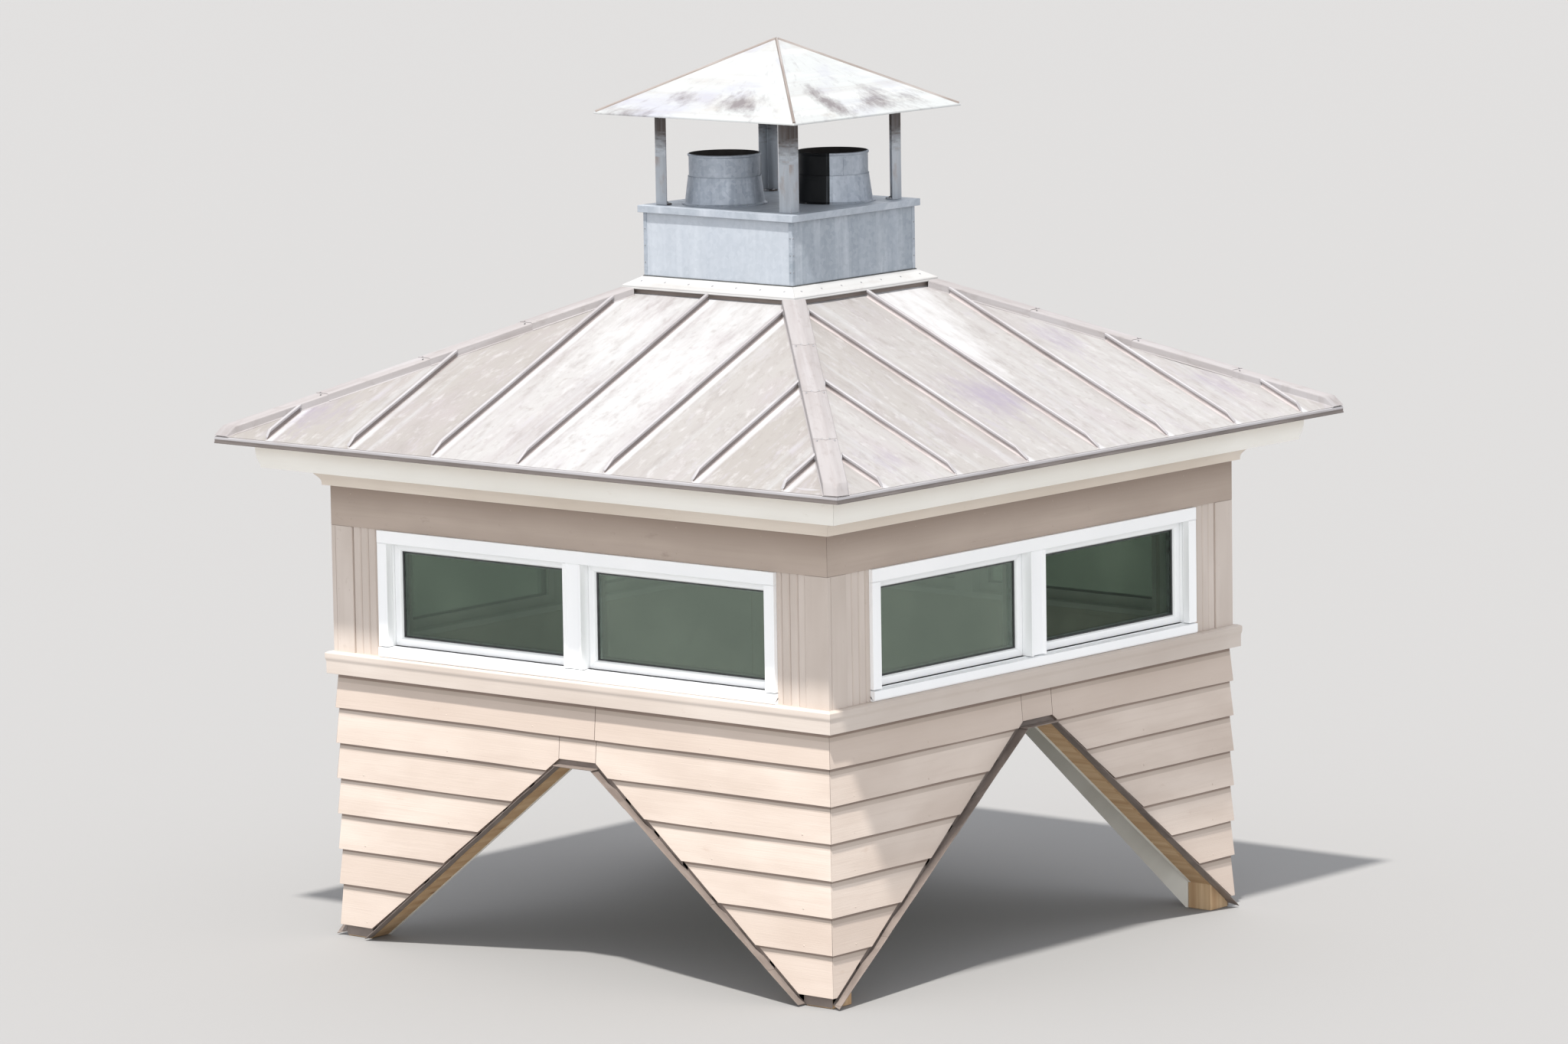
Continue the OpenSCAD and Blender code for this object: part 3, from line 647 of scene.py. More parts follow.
def siding(side, seed):
    """Long tapered boards that lap each other, mitred at the corners and cut over the roofs."""
    turn = SIDES[side]
    piece = Piece(f"lap_siding_{side}", seed)
    peak = BASE_H - RIDGE_DROP[side] + FLASHING_SHOWS
    flat_z = saddle_z(0, side) + FLASHING_SHOWS
    low_mitre, high_mitre = mitre()
    courses = [(SIDING_FOOT + LOW_COURSE + COURSE * k, COURSE) for k in reversed(range(COURSES))]
    for z0, seen in [*courses, (SIDING_FOOT, LOW_COURSE)]:
        top = min(z0 + seen + LAP, BASE_H - 1)
        # Painted shadow under the next board's edge: a mid strip, then a dark strip and the butt's underside
        dark = min(z0 + seen - 9, BASE_H - 16)
        # The top board is painted darker, as shade under the band and as grime, and the two lowest are darker
        # too
        darkening = 0.75 if z0 > 800 else 0.55 if z0 < 200 else 0
        a, b, c = (piece.draw.uniform(0, 6.3) for _ in range(3))

        def wave(y, out, z):
            lip = 1 if z < z0 + 20 else 0.3
            return (lip * 0.5 * math.sin(y / 170 + a) + lip * 0.35 * math.sin(y / 61 + b),
                    lip * (0.9 * math.sin(y / 230 + c) + 0.5 * math.sin(y / 83 + a)))

        def taper(z):
            return WALL - (z - z0) * 10 / seen

        def behind(z):
            return CORE + 9.4 - (z - z0) * 7 / (seen + LAP)

        def board(low, start, end):
            heights = [low, *(z for z in sorted((flat_z, dark - 15, dark)) if low + 3 < z < top - 3), top]
            outline = [(taper(z), z) for z in heights] + [(behind(z), z) for z in reversed(heights)]
            outline = eased(outline, 1.8)
            kinds = []
            for p, q in edges(outline):
                lower, upper = sorted((p[1], q[1]))
                kinds.append(1 if upper < low + 1.6 or lower > dark - 1 else 2 * (lower > dark - 16))
            length = abs(at(end, WALL, z0 + 60) - at(start, WALL, z0 + 60))
            tint = piece.draw.uniform(0, 0.25) + darkening
            rings = run(outline, start, end, max(2, int(length / 70)), wave)
            piece.solid(rings, turn, tint, kinds, ladder=True)

        def cut(out, z):
            return max(RIDGE_HALF, (peak - z) / SADDLE) + 1

        if z0 >= flat_z:
            board(z0, low_mitre, RIDGE_HALF - 1.2)
            board(z0, RIDGE_HALF + 1.2, high_mitre)
        else:
            board(z0, cut, high_mitre)
            board(z0, low_mitre, lambda out, z: -cut(out, z))
            if top - 25 > flat_z:
                board(flat_z + 1, 1.2 - RIDGE_HALF, RIDGE_HALF - 1.2)
        z = z0 + 22
        for y in range(-1015, 1016, STUD_STEP):
            if z > saddle_z(y, side) + 40:
                piece.nail((taper(z) - 0.3, y, z), turn, 3.4, 1.1, (1, 0, 0.08))
    piece.finish([siding_paint, siding_shadow_edge, siding_shade_strip], "siding", [f"siding_{side}"])


def base_wall(side):
    """Sheathing, sloped bottom plates and studs, and plaster inside."""
    turn = SIDES[side]
    piece = Piece(f"framed_base_{side}", 7)
    foot = min(INSIDE - 1, (BASE_H - RIDGE_DROP[side]) / SADDLE)
    vee = [(RIDGE_HALF, saddle_z(0, side)), (foot, max(0.5, saddle_z(foot, side)))]
    edge = vee + [(INSIDE - 1, vee[-1][1])] * (foot < INSIDE - 2)
    outline = [(-y, z) for y, z in reversed(edge)] + edge + [(INSIDE - 1, BAND_TOP), (1 - INSIDE, BAND_TOP)]

    def slab(outline, x0, x1, material):
        piece.solid([[(x, y, z) for y, z in outline] for x in (x0, x1)], turn, material=material)

    slab(outline, CORE - 12, CORE - 0.5, 0)
    slab(outline, INSIDE, INSIDE + 12.5, 1)
    x0, x1 = INSIDE + 13, CORE - 12.5
    plate = STUD_T / math.cos(SADDLE_PITCH)
    for hand in (-1, 1):
        section = [(y, z + 1) for y, z in vee] + [(y, z + 1 + plate) for y, z in reversed(vee)]
        slab([(hand * y, z) for y, z in section], x0, x1, 2)
        for y in range(STUD_STEP // 2, 1000, STUD_STEP):
            near, far = y - STUD_T / 2, y + STUD_T / 2
            outline = box_outline(x0, x1, saddle_z(near, side) + plate, BAND_TOP)
            piece.solid(run(outline, hand * near, hand * far), turn, material=2)
    flat = saddle_z(0, side)
    outline = box_outline(x0, x1, flat + 1, flat + 1 + STUD_T)
    piece.solid(run(outline, 1 - RIDGE_HALF, RIDGE_HALF - 1), turn, material=2)
    piece.finish([sheathing_wood, plaster, framing_wood], "framing", [f"base_wall_{side}"])


def flashing():
    """Bent cards that step down both slopes of each roof, each lapped over the one below."""
    piece = Piece("stepped_flashing", 5)
    card, card_step = 150, 128
    for side, turn in SIDES.items():
        end = min(WALL - 2, (BASE_H - RIDGE_DROP[side] - 4) / SADDLE)
        for hand in (-1, 1):
            t, k = RIDGE_HALF - 2, 0
            while t < end - 5:
                profile = eased(near(CORE, 1.2 * (k % 2), (0.5, 0), (41, 0), (41, 2.6), (3.4, 2.8),
                                     (3.4, 27), (0.5, 27)), 1)
                piece.solid([
                    [(x, hand * min(y, x - 1), saddle_z(min(y, x - 1), side) + z) for x, z in profile]
                    for y in (t, min(t + card, end))
                ], turn)
                t += card_step
                k += 1
        profile = eased(near(CORE, 0, (0.5, 1.5), (42, 1.5), (42, 5), (3.6, 5), (3.6, 27), (0.5, 27)), 1)
        level = saddle_z(0, side)
        piece.solid(run([(x, level + z) for x, z in profile], -RIDGE_HALF - 6, RIDGE_HALF + 6), turn)
        top = SIDING_FOOT + 3
        start, knee, finish = ((BASE_H - RIDGE_DROP[side] - z) / SADDLE for z in (top - 27, 1.5, 0))
        if finish > CORE:
            continue
        rings = []
        for y in (start, knee, CORE + 5):
            outline = box_outline(CORE + 0.4, CORE + 2.6, max(3.5, saddle_z(y, side) + 2), top, 0.5)
            rings.append([(x, min(y, x - 0.8), z) for x, z in outline])
        piece.solid(rings, turn)
        piece.solid([[(x, -y, z) for x, y, z in ring] for ring in rings], turn)
    piece.finish([flashing_metal], "flashing_metal", ["step_flashing"])


for number, name in enumerate(SIDES):
    siding(name, 11 + number)
    base_wall(name)
flashing()


# Trim and windows
def ogee(a, b, bend, steps=16):
    curve = []
    for s in (i / steps for i in range(steps + 1)):
        swing = s + bend * math.sin(2 * math.pi * s) / (2 * math.pi)
        curve.append((a[0] + (b[0] - a[0]) * swing, a[1] + (b[1] - a[1]) * s))
    return curve


def moulding(name, outline, material, slot, replaces):
    """One mitred length on each side, a little less than dead straight."""
    piece = Piece(name, 3)
    steps, waver = 24, 0.35
    for turn in TURNS:
        a, b = piece.draw.uniform(0, 6.3), piece.draw.uniform(0, 6.3)
        piece.solid(run(outline, *mitre(), steps, lambda y, out, z: (
            waver * math.sin(y / 310 + a), waver * math.sin(y / 270 + b))), turn)
    piece.finish([material], slot, replaces)


def boarding(name, seed, boards, gap, material, slot, replaces):
    """Mitred boards side by side, on each side."""
    piece = Piece(name, seed)
    for turn in TURNS:
        for outline in boards:
            piece.solid(run(outline, *mitre(gap), 4), turn)
    piece.finish([material], slot, replaces)


face, nosing = WALL + 20.5, WALL + 24
band = [(CORE, BASE_H), (face, BASE_H)] + ogee((face, BAND_TOP - 40), (nosing, BAND_TOP - 20), -0.9, 8)
band += [(nosing, BAND_TOP - 6), (WALL + 12, BAND_TOP), (CORE, BAND_TOP)]
moulding("moulded_sill_band", eased(band, 2), band_paint, "trim", ["sill_band"])

face, nosing = WALL + 21.6, WALL + 48
bed = [(WALL, BED_Z), (face, BED_Z)] + ogee((face, BED_Z + 8), (nosing, SOFFIT_Z - 8), -0.8)
bed += [(nosing, SOFFIT_Z), (WALL, SOFFIT_Z)]
moulding("moulded_bed", eased(bed, 1.2), bed_paint, "cornice", ["bed_mould"])

foot, top = WALL + 174, WALL + 202
crown = [(foot - 26, SOFFIT_Z), (foot, SOFFIT_Z)]
crown += ogee((foot, SOFFIT_Z + 12), (top - 4, under_deck(top) - 12), 0.75)
crown += [(top, under_deck(top) - 12), (top, under_deck(top)), (foot - 26, under_deck(foot - 26))]
moulding("moulded_crown", eased(crown, 1.5), cornice_paint, "cornice", ["crown_mould"])


def corner_boards():
    piece = Piece("corner_board_pairs", 8)
    wide = box_outline(CORE, WALL, BOARD_EDGE, WALL, 2.5)
    narrow = box_outline(CORE, WALL, -BOARD_EDGE, 0.8 - CORE, 1.6)
    for turn in TURNS:
        for outline in (wide, narrow):
            piece.solid(upright(outline, BAND_TOP, WINDOW_TOP, 6), turn)
        for z in range(BAND_TOP + 46, WINDOW_TOP, 180):
            for y in (WALL - 22, WALL - 82, 82 - WALL, 30 - WALL):
                piece.nail((WALL, y, z), turn)
    piece.finish([trim_paint], "trim", ["corner_boards"])


def side_boards():
    """Narrow V-jointed boards between the casing and the corner board."""
    piece = Piece("v_jointed_side_boards", 9)
    out = WALL - 5
    joints = [BOARD_EDGE - 36 * k for k in range(4)] + [PAIR_HALF]
    for turn in TURNS:
        for hand in (-1, 1):
            for b, a in zip(joints, joints[1:]):
                left = [(out - 4.5, a + 0.3), (out, a + 4.8)] if a > PAIR_HALF else [(out, a + 0.3)]
                right = [(out, b - 4.8), (out - 4.5, b - 0.3)]
                outline = eased([(CORE, a + 0.3), *left, *right, (CORE, b - 0.3)], 0.8)
                piece.solid(upright([(x, hand * y) for x, y in outline], BAND_TOP, WINDOW_TOP, 4), turn)
    piece.finish([trim_paint], "trim", ["side_boards"])


def frieze_boards():
    piece = Piece("frieze_board_set", 10)
    outline = box_outline(CORE, WALL - 0.3, WINDOW_TOP + 0.5, SOFFIT_Z - 0.5, 2)
    for turn in TURNS:
        piece.solid(run(outline, *mitre(), 20), turn)
        for y in range(-1045, 1046, 380):
            for z in (WINDOW_TOP + 28, BED_Z - 26):
                piece.nail((WALL - 0.3, y, z), turn)
    piece.finish([frieze_shaded_paint], "trim", ["frieze_boards"])


def soffit():
    joints = [CORE + 0.5, 1180, 1235, 1290.6]
    boards = [eased([(a, SOFFIT_Z + 3), (a + 3, SOFFIT_Z), (b - 3, SOFFIT_Z), (b - 0.4, SOFFIT_Z + 3),
                     (b - 0.4, SOFFIT_TOP), (a, SOFFIT_TOP)], 0.6) for a, b in zip(joints, joints[1:])]
    boarding("v_jointed_soffit", 12, boards, 0.5, cornice_paint, "cornice", ["soffit_boards"])


# Window sizes: faces out from the middle, half widths along the side, and heights
CASING_FACE = WALL + 10
SASH_FACE, SASH_T, SASH_IN = CASING_FACE - 42, 45, 33
PAIR_HALF, OPEN_HALF, MULLION_HALF = 914.5, 869.5, 41.5
SILL_Z, HEAD_Z = 1072, 1441
SASH_W, MID = 828, 455.5
BOARD_EDGE = WALL - 100
GLASS_IN, GLASS_BACK, GLASS_T = 31, 14, 20

corner_boards()
side_boards()
frieze_boards()
soffit()


def window(side, seed):
    turn = SIDES[side]
    piece = Piece(f"window_casing_{side}", seed)
    head = box_outline(CORE, CASING_FACE, HEAD_Z, WINDOW_TOP, 2.5)
    sill = eased([(CORE, BAND_TOP + 0.5), (CASING_FACE, BAND_TOP + 0.5), (CASING_FACE + 3, BAND_TOP + 6),
                  (CASING_FACE + 3, SILL_Z - 5), (SASH_FACE - 4, SILL_Z), (CORE, SILL_Z)], 2)
    for outline in (head, sill):
        piece.solid(run(outline, -PAIR_HALF, PAIR_HALF, 6), turn)
    leg = box_outline(CORE, CASING_FACE, OPEN_HALF, PAIR_HALF, 2.5)
    groove = MULLION_HALF - 10
    cover = [(INSIDE + 0.5, -MULLION_HALF), (CASING_FACE, -MULLION_HALF), (CASING_FACE, -groove),
             (CASING_FACE - 9, 3 - groove), (CASING_FACE - 9, groove - 3), (CASING_FACE, groove),
             (CASING_FACE, MULLION_HALF), (INSIDE + 0.5, MULLION_HALF)]
    for outline in ([(x, -y) for x, y in leg], leg, eased(cover, 1.8)):
        piece.solid(upright(outline, SILL_Z + 0.4, HEAD_Z - 0.4, 3), turn)
    lining = box_outline(0, 20, INSIDE, CORE - 0.5, 1.5)
    piece.rails(turn, -OPEN_HALF - 20, OPEN_HALF + 20, SILL_Z - 20, HEAD_Z + 20, lining)
    piece.finish([window_paint], "window_frame", [f"window_frame_{side}"])

    sashes = Piece(f"sash_pair_{side}", seed + 1)
    profile = eased(near(0, SASH_FACE, (0.4, -SASH_T), (SASH_IN, -SASH_T), (SASH_IN, -34), (30, -34),
                         (30, -10), (26, -2), (23, 0), (0.4, 0)), 1.4)
    seal = near(0, SASH_FACE, (28.5, -GLASS_BACK), (35.5, -GLASS_BACK), (34, -10.2), (28.5, -10.2))
    for mid in (-MID, MID):
        a, b = mid - SASH_W / 2 + 0.6, mid + SASH_W / 2 - 0.6
        for material, outline in enumerate((profile, eased(seal, 0.5))):
            sashes.rails(turn, a, b, SILL_Z + 0.6, HEAD_Z - 0.6, outline, material)
    sashes.finish([window_paint, rubber_seal], "window_frame", [f"window_sashes_{side}"])


# How much each pane mirrors, a painted reflection, by its side's turn and its place along the side
PANE_MIRROR_SHARE = {(270, -MID): 0.45, (270, MID): 0.8, (0, -MID): 0.75, (0, MID): 0.12}


def glazing():
    """A sealed unit and its metal spacer in each sash."""
    panes = Piece("sealed_glass_panes", 15)
    spacers = Piece("glass_spacers", 16)
    out = SASH_FACE - GLASS_BACK
    pane = box_outline(out - GLASS_T, out, SILL_Z + GLASS_IN, HEAD_Z - GLASS_IN, 0.6)
    profile = box_outline(0, 10, out - 15.5, out - 4.5, 0.8)
    for turn in TURNS:
        for mid in (-MID, MID):
            a, b = mid - SASH_W / 2 + GLASS_IN, mid + SASH_W / 2 - GLASS_IN
            panes.solid(run(pane, a, b), turn, PANE_MIRROR_SHARE.get((turn, mid), 0.4))
            spacers.rails(turn, a, b, SILL_Z + GLASS_IN, HEAD_Z - GLASS_IN, profile)
    panes.finish([glass], "glazing", ["window_glass"])
    spacers.finish([fixing_metal], "glazing")


for number, name in enumerate(SIDES):
    window(name, 20 + number)
glazing()

# Structure seen from inside and below
upper_walls = [f"upper_wall_{side}" for side in ("front", "right", "back", "left")]
dressed("corner_post_set", ["corner_posts"], framing_wood, "framing", 2.5)
dressed("plastered_upper_walls", upper_walls, plaster, "framing", 1.5)
dressed("wall_plate_set", ["wall_plate"], framing_wood, "framing")
dressed("hip_and_jack_rafters", ["rafters"], framing_wood, "framing")
dressed("box_curb", ["roof_curb"], framing_wood, "framing")


def deck_boards():
    edge, rows = ROOF - 6, 9
    width = (edge - CURB) / rows
    boards = []
    for k in range(rows):
        b, a = edge - width * k - 0.8, edge - width * (k + 1) + 0.8
        boards.append(eased([(b, under_deck(b) + 0.2), (b, over_deck(b) - 0.2), (a, over_deck(a) - 0.2),
                             (a, under_deck(a) + 0.2)], 1.2))
    boarding("roof_deck_boards", 17, boards, 0.8, deck_wood, "framing", ["roof_deck"])


deck_boards()


# Metal roof
def on_slope(h, y, rise):
    """A point over the pans, by its distance out along the pan line and its height off it."""
    return (h + rise * SIN, y, pans(h) + rise * COS)


def on_hip(t, d, z):
    """A point by its distance out along the line of a hip, and across that line, and its height."""
    return ((t - d) / ROOT2, (t + d) / ROOT2, z)


# How dark each pan is, from the viewer's left on the front and from the near corner on the right. It is
# pan-to-pan age, and the light middle pans on the front are a painted reflection of the sky
PAN_AGE_AND_REFLECTION = {
    "front": [1.0, 0.95, 0.92, 0.42, 0.22, 0.75, 0.95, 1.0],
    "right": [0.7, 0.55, 0.8, 0.65, 0.55, 0.5, 0.55, 0.7],
}
# Bleached (+) and lilac (-) patches: place along, distance out, half width, half length, strength
PATCHES = {
    "front": [(-190, 580, 170, 330, 0.5), (190, 660, 190, 430, 0.45), (-1120, 1250, 120, 120, -0.6)],
    "right": [(-130, 1060, 140, 150, -0.9), (560, 820, 90, 130, -0.7), (1010, 1180, 90, 90, -0.6),
              (-1000, 1290, 110, 60, -0.5)],
}
# Stains on the rain cap, in the same form
CAP_STAINS = {
    "front": [(-137, 352, 60, 34, -0.8), (161, 378, 78, 40, -1.05), (95, 346, 60, 50, -0.5),
              (-319, 449, 140, 22, -0.8)],
    "right": [(-168, 360, 46, 74, -1.05), (-120, 418, 70, 30, -0.5), (112, 376, 50, 70, -1.0),
              (30, 400, 60, 30, -0.6), (250, 400, 70, 40, -0.7)],
    "back": [(-60, 345, 60, 56, -1.0), (215, 380, 55, 46, -0.9), (-260, 410, 90, 30, -0.7)],
    "left": [(85, 350, 60, 60, -1.0), (-205, 372, 50, 56, -0.9), (300, 420, 80, 30, -0.6)],
}


def patched(patches, y, h):
    return sum(strength * math.exp(-((y - y0) / wide) ** 2 - ((h - h0) / long) ** 2)
               for y0, h0, wide, long, strength in patches)


def bleached_streak(side, y, h):
    """One long pale streak that narrows down a seam on the right slope."""
    if side != "right" or not 0 < y < SEAM_STEP or h > 1230:
        return 0
    reach = 25 + 300 * ((1230 - h) / 800) ** 1.4
    return 0.95 * max(0, min(1, (reach - y) / 140 + 0.5))


# A standing seam's folded section: across the seam and off the pans
SEAM_HALF = [(8, -0.5), (3.4, 2), (2.2, 6), (2.0, 14.6), (5.6, 15.4), (6.2, 16.6), (6.2, 22.5), (5, 24.4),
             (2, 25)]
SEAM = [(-8, -0.5)] + SEAM_HALF + [(-d, v) for d, v in reversed(SEAM_HALF[1:])]
PAN_END = 1408


def roof_slope(side, seed):
    turn = SIDES[side]
    piece = Piece(f"seamed_roof_{side}", seed)
    piece.mesh.loops.layers.float.new("patch")
    draw = piece.draw
    pan_age_and_reflection = PAN_AGE_AND_REFLECTION.get(side) or [draw.uniform(0.3, 0.95) for _ in range(8)]
    lines = [-PAN_END, *SEAMS, PAN_END]
    rows, columns = 30, 12
    for index, (a, b) in enumerate(zip(lines, lines[1:])):
        phases = [draw.uniform(0, 6.3) for _ in range(4)]
        middle = a + SEAM_STEP / 2 if index else b - SEAM_STEP / 2

        def swell(y, h):
            edge = math.sin(math.pi * max(0, min(1, (y - a) / (b - a))))
            return edge * (1.1 * math.sin(h / 95 + phases[0]) * math.sin(y / 70 + phases[1])
                           + 0.9 * math.sin(h / 210 + phases[2]))

        top = [(a + (b - a) * k / columns, 0) for k in range(columns + 1)]
        section = top + [(y, 1) for y, low in reversed(top)]

        def pan(i, y, low):
            last = max(abs(y) + 4, COLLAR - 26)
            h = ROOF - 4 - (ROOF - 4 - last) * i / rows
            return on_slope(h, y, -2.6 if low else swell(y, h) * min(1, i / 3))

        across = [y - middle for y, low in section]
        piece.solid(loft(section, range(rows + 1), pan), turn, pan_age_and_reflection[index], v_from=across)
    piece.patches(turn, lambda y, h: patched(PATCHES.get(side, ()), y, h) + bleached_streak(side, y, h))
    inner = ROOF - 34
    edge = [(inner, pans(inner) - 0.6), (inner, over_deck(inner)), (ROOF - 4, over_deck(ROOF - 4))]
    edge += near(ROOF, EAVE_Z, (-4, 1), (-5, 0), (-0.6, 0), (-0.1, 2), (-0.6, 5), (-1.6, 7), (-1.4, 14))
    edge += near(ROOF, pans(ROOF), (-1.2, -3), (-3.5, -0.2))
    # The drip edge's lower face takes the painted shadow
    kinds = [3 if p[0] > ROOF - 4.5 and q[0] > ROOF - 4.5 and max(p[1], q[1]) < EAVE_Z + 15 else 1
             for p, q in edges(edge)]
    piece.solid(run(edge, *mitre(0.4), 24), turn, material=kinds)
    # The seam's lower 16 mm takes the painted shade of its sides
    kinds = [2 if max(p[1], q[1]) < 16 else 1 for p, q in edges(SEAM)]
    kinds[0] = 1
    # The seams' painted shade is lighter on the right slope, which takes more light
    pale = {"front": 0.0, "right": 0.75}.get(side, 0.4)
    steps = 24
    for seam in SEAMS:
        phases = [draw.uniform(0, 6.3) for _ in range(2)]

        def fold(i, y, rise):
            y += seam
            rise *= 0.35 if i == 0 and rise > 0 else 1
            h0, h1 = ROOF - 9 - 0.9 * rise, max(COLLAR + 1, abs(y) + 66) - rise * SIN
            h = h0 + (h1 - h0) * i / steps
            lean = rise / 25 * (0.9 * math.sin(h / 120 + phases[0]) + 0.5 * math.sin(h / 47 + phases[1]))
            return on_slope(h, y + lean, rise)

        piece.solid(loft(SEAM, range(steps + 1), fold), turn, pale, kinds)
    piece.finish([roof_metal, seam_metal, seam_side_shade, drip_face_shadow], "roof_metal", [f"roof_panels_{side}"])


def hip_caps():
    """Folded caps up the four hips, in lapped lengths with rivets at each lap."""
    piece = Piece("folded_hip_caps", 31)
    half = [(-46, 2), (-43.4, 3), (-42.6, 5), (-42, 24), (-41, 27), (-38.5, 28.6), (-10, 29.4)]
    profile = half + [(0, 28.4)] + [(-d, v) for d, v in reversed(half)] + [(46, 0), (0, -1.5), (-46, 0)]
    lengths = 4
    for turn in TURNS:
        for k in range(lengths):

            def fold(stop, d, v):
                # The lowest length closes down at the eave
                v *= 1 if k or v <= 1 else min(1, 0.12 + stop * 10)
                low, high = ROOT2 * (COLLAR + 1) - abs(d), ROOT2 * (ROOF - 1.5) - abs(d)
                s = (k + stop + (0.03 if stop == 1 and k < lengths - 1 else 0)) / lengths
                t = high + (low - high) * s
                lap = 0.9 - 1.8 * stop if v > 1 else 0
                return on_hip(t, d, pans((t + abs(d)) / ROOT2) + v + lap - 0.9 * (v > 1))

            stops = [i / 8 for i in range(9)] if k else [0, 0.05, 0.09, *(i / 8 for i in range(1, 9))]
            piece.solid(loft(profile, stops, fold), turn)
            for d in (-30, -12, 12, 30) if k else ():
                t = ROOT2 * ROOF + (ROOT2 * (COLLAR - ROOF)) * (k / lengths) - 16
                piece.stud(on_hip(t, d, pans((t + abs(d)) / ROOT2) + 29.2), (0.3, 0.3, 1), 3.2, 1.3, turn)
    piece.finish([hip_metal, fixing_metal], "roof_metal", ["hip_caps"])


def collar():
    """A sloped flashing round the box, with closures between the seams, screws and a bead."""
    seat = pans(COLLAR) + 27 / COS
    inner = BOX + 0.6
    rise = (COLLAR - inner) * SLOPE
    outline = near(COLLAR, seat, (-5, -8), (-1, -8), (0, -6.5), (0, -4), (-1.5, -2), (-1, 2), (-3, 5.6))
    outline += [(inner + 8, seat + 6 + rise - 1)] + near(inner, seat + rise, (4, 8), (0, 8), (0, 0))
    outline += [(COLLAR - 6, seat)]
    # The closures are dark flashing metal, which also paints the shade under the lip
    closure = [(COLLAR - 16, pans(COLLAR - 16) + 0.5), (COLLAR - 13, pans(COLLAR - 13) + 0.5),
               (COLLAR - 13, seat + 2), (COLLAR - 16, seat + 2)]
    bead = near(inner, seat + rise, (-0.4, 7), (4, 7.5), (2, 10), (-0.4, 12))
    piece = Piece("sloped_collar", 33)
    ends = mitre(0.3)
    for turn in TURNS:
        piece.solid(run(eased(outline, 1), *ends, 16), turn)
        piece.solid(run(closure, *ends, 16), turn, material=3)
        for y in range(-330, 331, 110):
            piece.stud((COLLAR - 28, y, seat + 6 + 28 * SLOPE), (SLOPE, 0, 1), 4, 2, turn)
        piece.solid(run(bead, *ends, 16), turn, material=2)
    piece.finish([collar_metal, fixing_metal, rubber_seal, flashing_metal], "roof_metal", ["curb_flashing"])


for number, name in enumerate(SIDES):
    roof_slope(name, 40 + number)
hip_caps()
collar()


# Flue box, flues and rain cap
def flue_box():
    """Four creased sheets with folded upright corner seams."""
    piece = Piece("creased_flue_box", 35)
    low = over_deck(CURB)
    rows = 10
    levels = [low + (BOX_TOP - 12 - low) * k / rows for k in range(rows + 1)] + [BOX_TOP]
    sheet = [(BOX - 2.6, z) for z in levels] + [(BOX - 4, z) for z in reversed(levels)]
    seam = eased(near(BOX, BOX, (-3.5, -16), (-0.4, -15), (0, -13), (0, -1.5), (-1.5, 0), (-13, 0),
                      (-15, -0.4), (-16, -3.5), (-3.5, -3.5)), 0.6)

    def crease(y, out, z):
        if out < BOX - 3:
            return 0, 0
        off = abs(z - (low + BOX_TOP) / 2) / ((BOX_TOP - low) / 2)
        return 2.4 * max(0, 1 - max(abs(y) / BOX, off)), 0

    # The sheet's top 12 mm takes the painted shadow under the lid
    kinds = [0] * rows + [2] + [0] * (rows + 3)
    for turn in TURNS:
        # The right side is painted darker, as shade
        shade = 0.75 if turn == SIDES["right"] else 0.1
        piece.solid(run(sheet, 2 - BOX, BOX - 2, 24, crease), turn, shade, kinds)
        piece.solid(upright(seam, low + 40, BOX_TOP - 2, 4), turn)
        for z in range(int(low) + 90, int(BOX_TOP) - 30, 60):
            piece.stud((BOX, BOX - 8, z), (1, 0, 0), 2.6, 1.2, turn)
            piece.stud((BOX - 8, BOX, z), (0, 1, 0), 2.6, 1.2, turn)
    piece.finish([box_metal, fixing_metal, seam_side_shade], "box_metal", ["flue_box"])


def shaded_side(angle):
    """Painted shade on the side of a flue towards the other one."""
    return 0.3 + 0.7 * max(0, min(1, (46 - abs(angle - 262)) / 8))


def flues():
    """Two beaded pipes, their lock seams, and a storm collar with rivets round each foot."""
    piece = Piece("flue_pipes", 36)
    r, wall, bead, place = 127, 2.2, 5, 136
    outer = [(r, FLUE_FOOT), (r, FLUE_TOP - 2 * bead - 3)]
    roll = []
    for a in (math.radians(d) for d in range(-70, 111, 20)):
        out = bead * math.cos(a) * (1 if math.cos(a) > 0 else 0.2)
        roll.append((r - 1 + out, FLUE_TOP - bead + bead * math.sin(a)))
    inner = [(r - wall, FLUE_TOP - 6), (r - wall, FLUE_TOP - 40), (r - wall, FLUE_FOOT)]
    profile = outer + roll + inner
    kinds = [0] * (len(outer) + len(roll) - 1) + [1] * len(inner) + [0]
    cone = near(r, LID_Z, (1, 0.5), (26, 0.5), (26, 2.5), (19, 4), (15, 10), (3.4, 96), (4.2, 100), (1, 100))
    for hand in (-1, 1):
        x = y = hand * place
        piece.lathe(profile, (x, y), kinds, shaded_side if x > 0 else 0.2)
        lock = [(r - 0.5, -7), (r + 1.2, -6), (r + 1.8, 0), (r + 1.2, 6), (r - 0.5, 7)]
        turn = math.radians(150 if x < 0 else -30)
        lock = [(x + p * math.cos(turn) - q * math.sin(turn), y + p * math.sin(turn) + q * math.cos(turn))
                for p, q in lock]
        piece.solid(upright(lock, LID_Z + 30, FLUE_TOP - 14, 3), 0, 0.25)
        piece.lathe(cone, (x, y), 0, shaded_side if x > 0 else 0.12)
        for k in range(10):
            a = 2 * math.pi * (k + 0.5) / 10
            rivet = (x + (r + 22.5) * math.cos(a), y + (r + 22.5) * math.sin(a), LID_Z + 3)
            piece.stud(rivet, (0, 0, 1), 2.6, 1.4, material=2)
    piece.finish([flue_metal, soot_lining, fixing_metal], "box_metal", ["flues"])


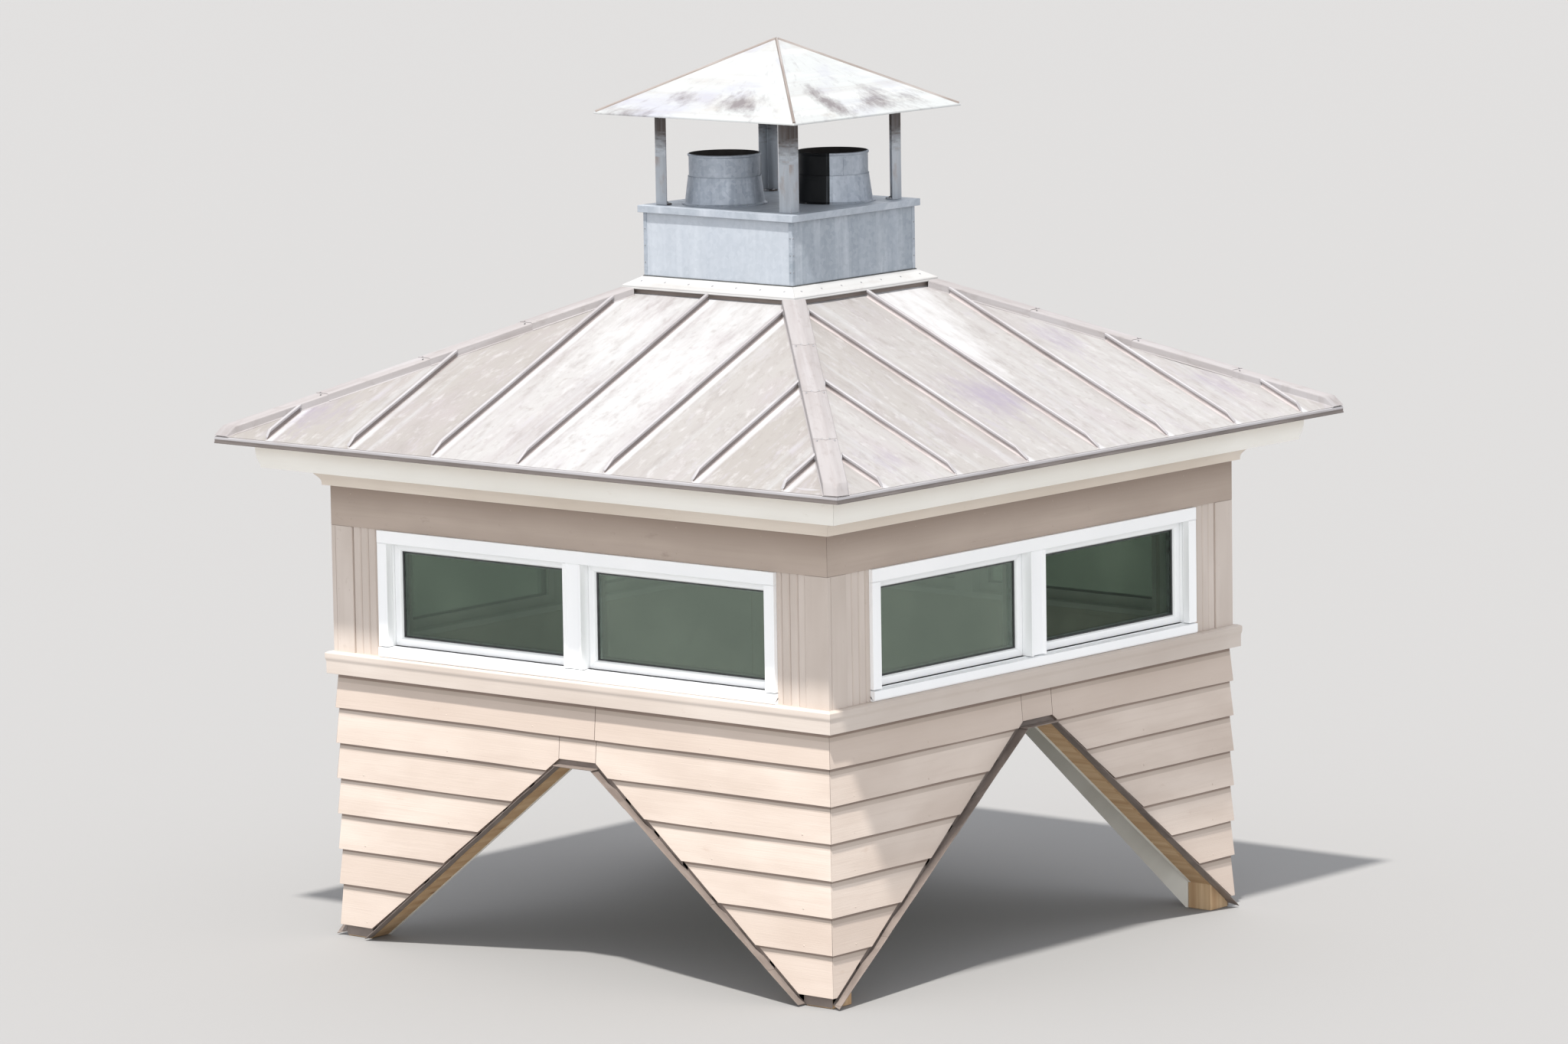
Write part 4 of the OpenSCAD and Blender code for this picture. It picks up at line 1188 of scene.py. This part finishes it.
def posts():
    """Angle posts with turned feet, bolted to the lid and the cap, and painted darker at their tops as shade
    under the cap.
    """
    piece = Piece("angle_posts", 37)
    o, leg, t = BOX - 33, 50, 4
    section = near(o, o, (0, 0), (-leg, 0), (-leg, -t), (-t - 2, -t), (-t, -t - 2), (-t, -leg), (0, -leg))
    section = eased(section, 1.2)
    feet = ((o - leg, o - 8, o - t - 26, o - t - 1), (o - t - 26, o - t - 1, o - leg, o - 30))

    def under_cap(x, y):
        return CAP_Z + CAP_RIM + (CAP - max(x, y)) * CAP_SLOPE - 8

    # The tint rises in bands up each post, placing the painted shade under the cap
    shade_z, shade_top, bands = LID_Z + 172, LID_Z + 262, 15
    for turn in TURNS:
        piece.solid(upright(section, LID_Z + 1, shade_z, 3), turn, 0.15)
        for k in range(bands):
            low = shade_z + 6 * k
            piece.solid(upright(section, low, low + 6), turn, 0.33 + 0.03 * k)
        piece.solid(upright(section, shade_top, under_cap, 2), turn, 0.78)
        for foot in feet:
            piece.solid(upright(box_outline(*foot), LID_Z + 0.5, LID_Z + 4.5), turn)
        for x, y in ((o - 38, o - 18), (o - 18, o - 40)):
            piece.stud((x, y, LID_Z + 4.5), (0, 0, 1), 5.5, 5, turn, 6)
        for z in (CAP_Z - 16, CAP_Z + 6):
            piece.stud((o, o - 24, z), (1, 0, 0), 4.5, 3, turn, 6)
            piece.stud((o - 24, o, z), (0, 1, 0), 4.5, 3, turn, 6)
    piece.finish([post_metal, fixing_metal], "box_metal", ["cap_posts"])


def rain_cap():
    """Four sheets with folded hips and a hemmed rim."""
    piece = Piece("pyramid_rain_cap", 38)
    piece.mesh.loops.layers.float.new("patch")
    rows, hip_steps = 18, 16

    def skin(h):
        return CAP_Z + CAP_RIM + (CAP - h) * CAP_SLOPE - 6.5

    hs = [CAP - 4 - (CAP - 12) * k / rows for k in range(1, rows + 1)]
    outline = [(CAP - 4, CAP_Z + 0.5), (CAP - 0.6, CAP_Z), (CAP - 0.1, CAP_Z + 2), (CAP - 1.4, CAP_Z + 5),
               (CAP - 1.8, skin(CAP) + 1), (CAP - 4, skin(CAP - 4))]
    outline += [(h, skin(h)) for h in hs] + [(h, skin(h) - 2.2) for h in reversed(hs)]
    outline += [(CAP - 5, skin(CAP - 4) - 2.4), (CAP - 5, CAP_Z + 3)]
    fold = [(-6, -1), (-4.5, 2.5), (-3.6, 5.4), (-2, 6.4), (2, 6.4), (3.6, 5.4), (4.5, 2.5), (6, -1)]

    def hip(i, d, v):
        low, high = 6, ROOT2 * (CAP - 2.5) - abs(d)
        t = high + (low - high) * i / hip_steps
        return on_hip(t, d, skin(max(abs(t - d), abs(t + d)) / ROOT2) + v - 0.3)

    for side, turn in SIDES.items():
        a, b = piece.draw.uniform(0, 6.3), piece.draw.uniform(0, 6.3)

        def sag(y, out, z):
            middle = max(0, 1 - abs(y) / max(20, out)) * math.sin(math.pi * min(1, out / CAP))
            return 0, middle * (-1.6 + 1.2 * math.sin(y / 70 + a) * math.sin(out / 60 + b))

        known = len(piece.mesh.faces)
        piece.solid(run(outline, *mitre(0.2), 48, sag), turn)
        piece.patches(turn, lambda y, h: patched(CAP_STAINS[side], y, h), known)
        piece.solid(loft(fold, range(hip_steps + 1), hip), turn, material=1)
    piece.finish([cap_metal, cap_hip_metal], "roof_metal", ["rain_cap"])


flue_box()
dressed("flue_box_lid", ["box_lid"], box_metal, "box_metal", 1.2)
flues()
posts()
rain_cap()

# Stage
floor_paint = mottled("studio_floor", 0.9, (0.3, 0.3), 0.3, (0.275, 0.273, 0.27, 1), (0.29, 0.288, 0.285, 1))
disc = bmesh.new()
bmesh.ops.create_circle(disc, cap_ends=True, radius=170, segments=96)
plane = bpy.data.meshes.new("studio_floor")
disc.to_mesh(plane)
disc.free()
plane.materials.append(floor_paint)
floor = bpy.data.objects.new("studio_floor", plane)
floor.location.z = -0.0005
scene.collection.objects.link(floor)
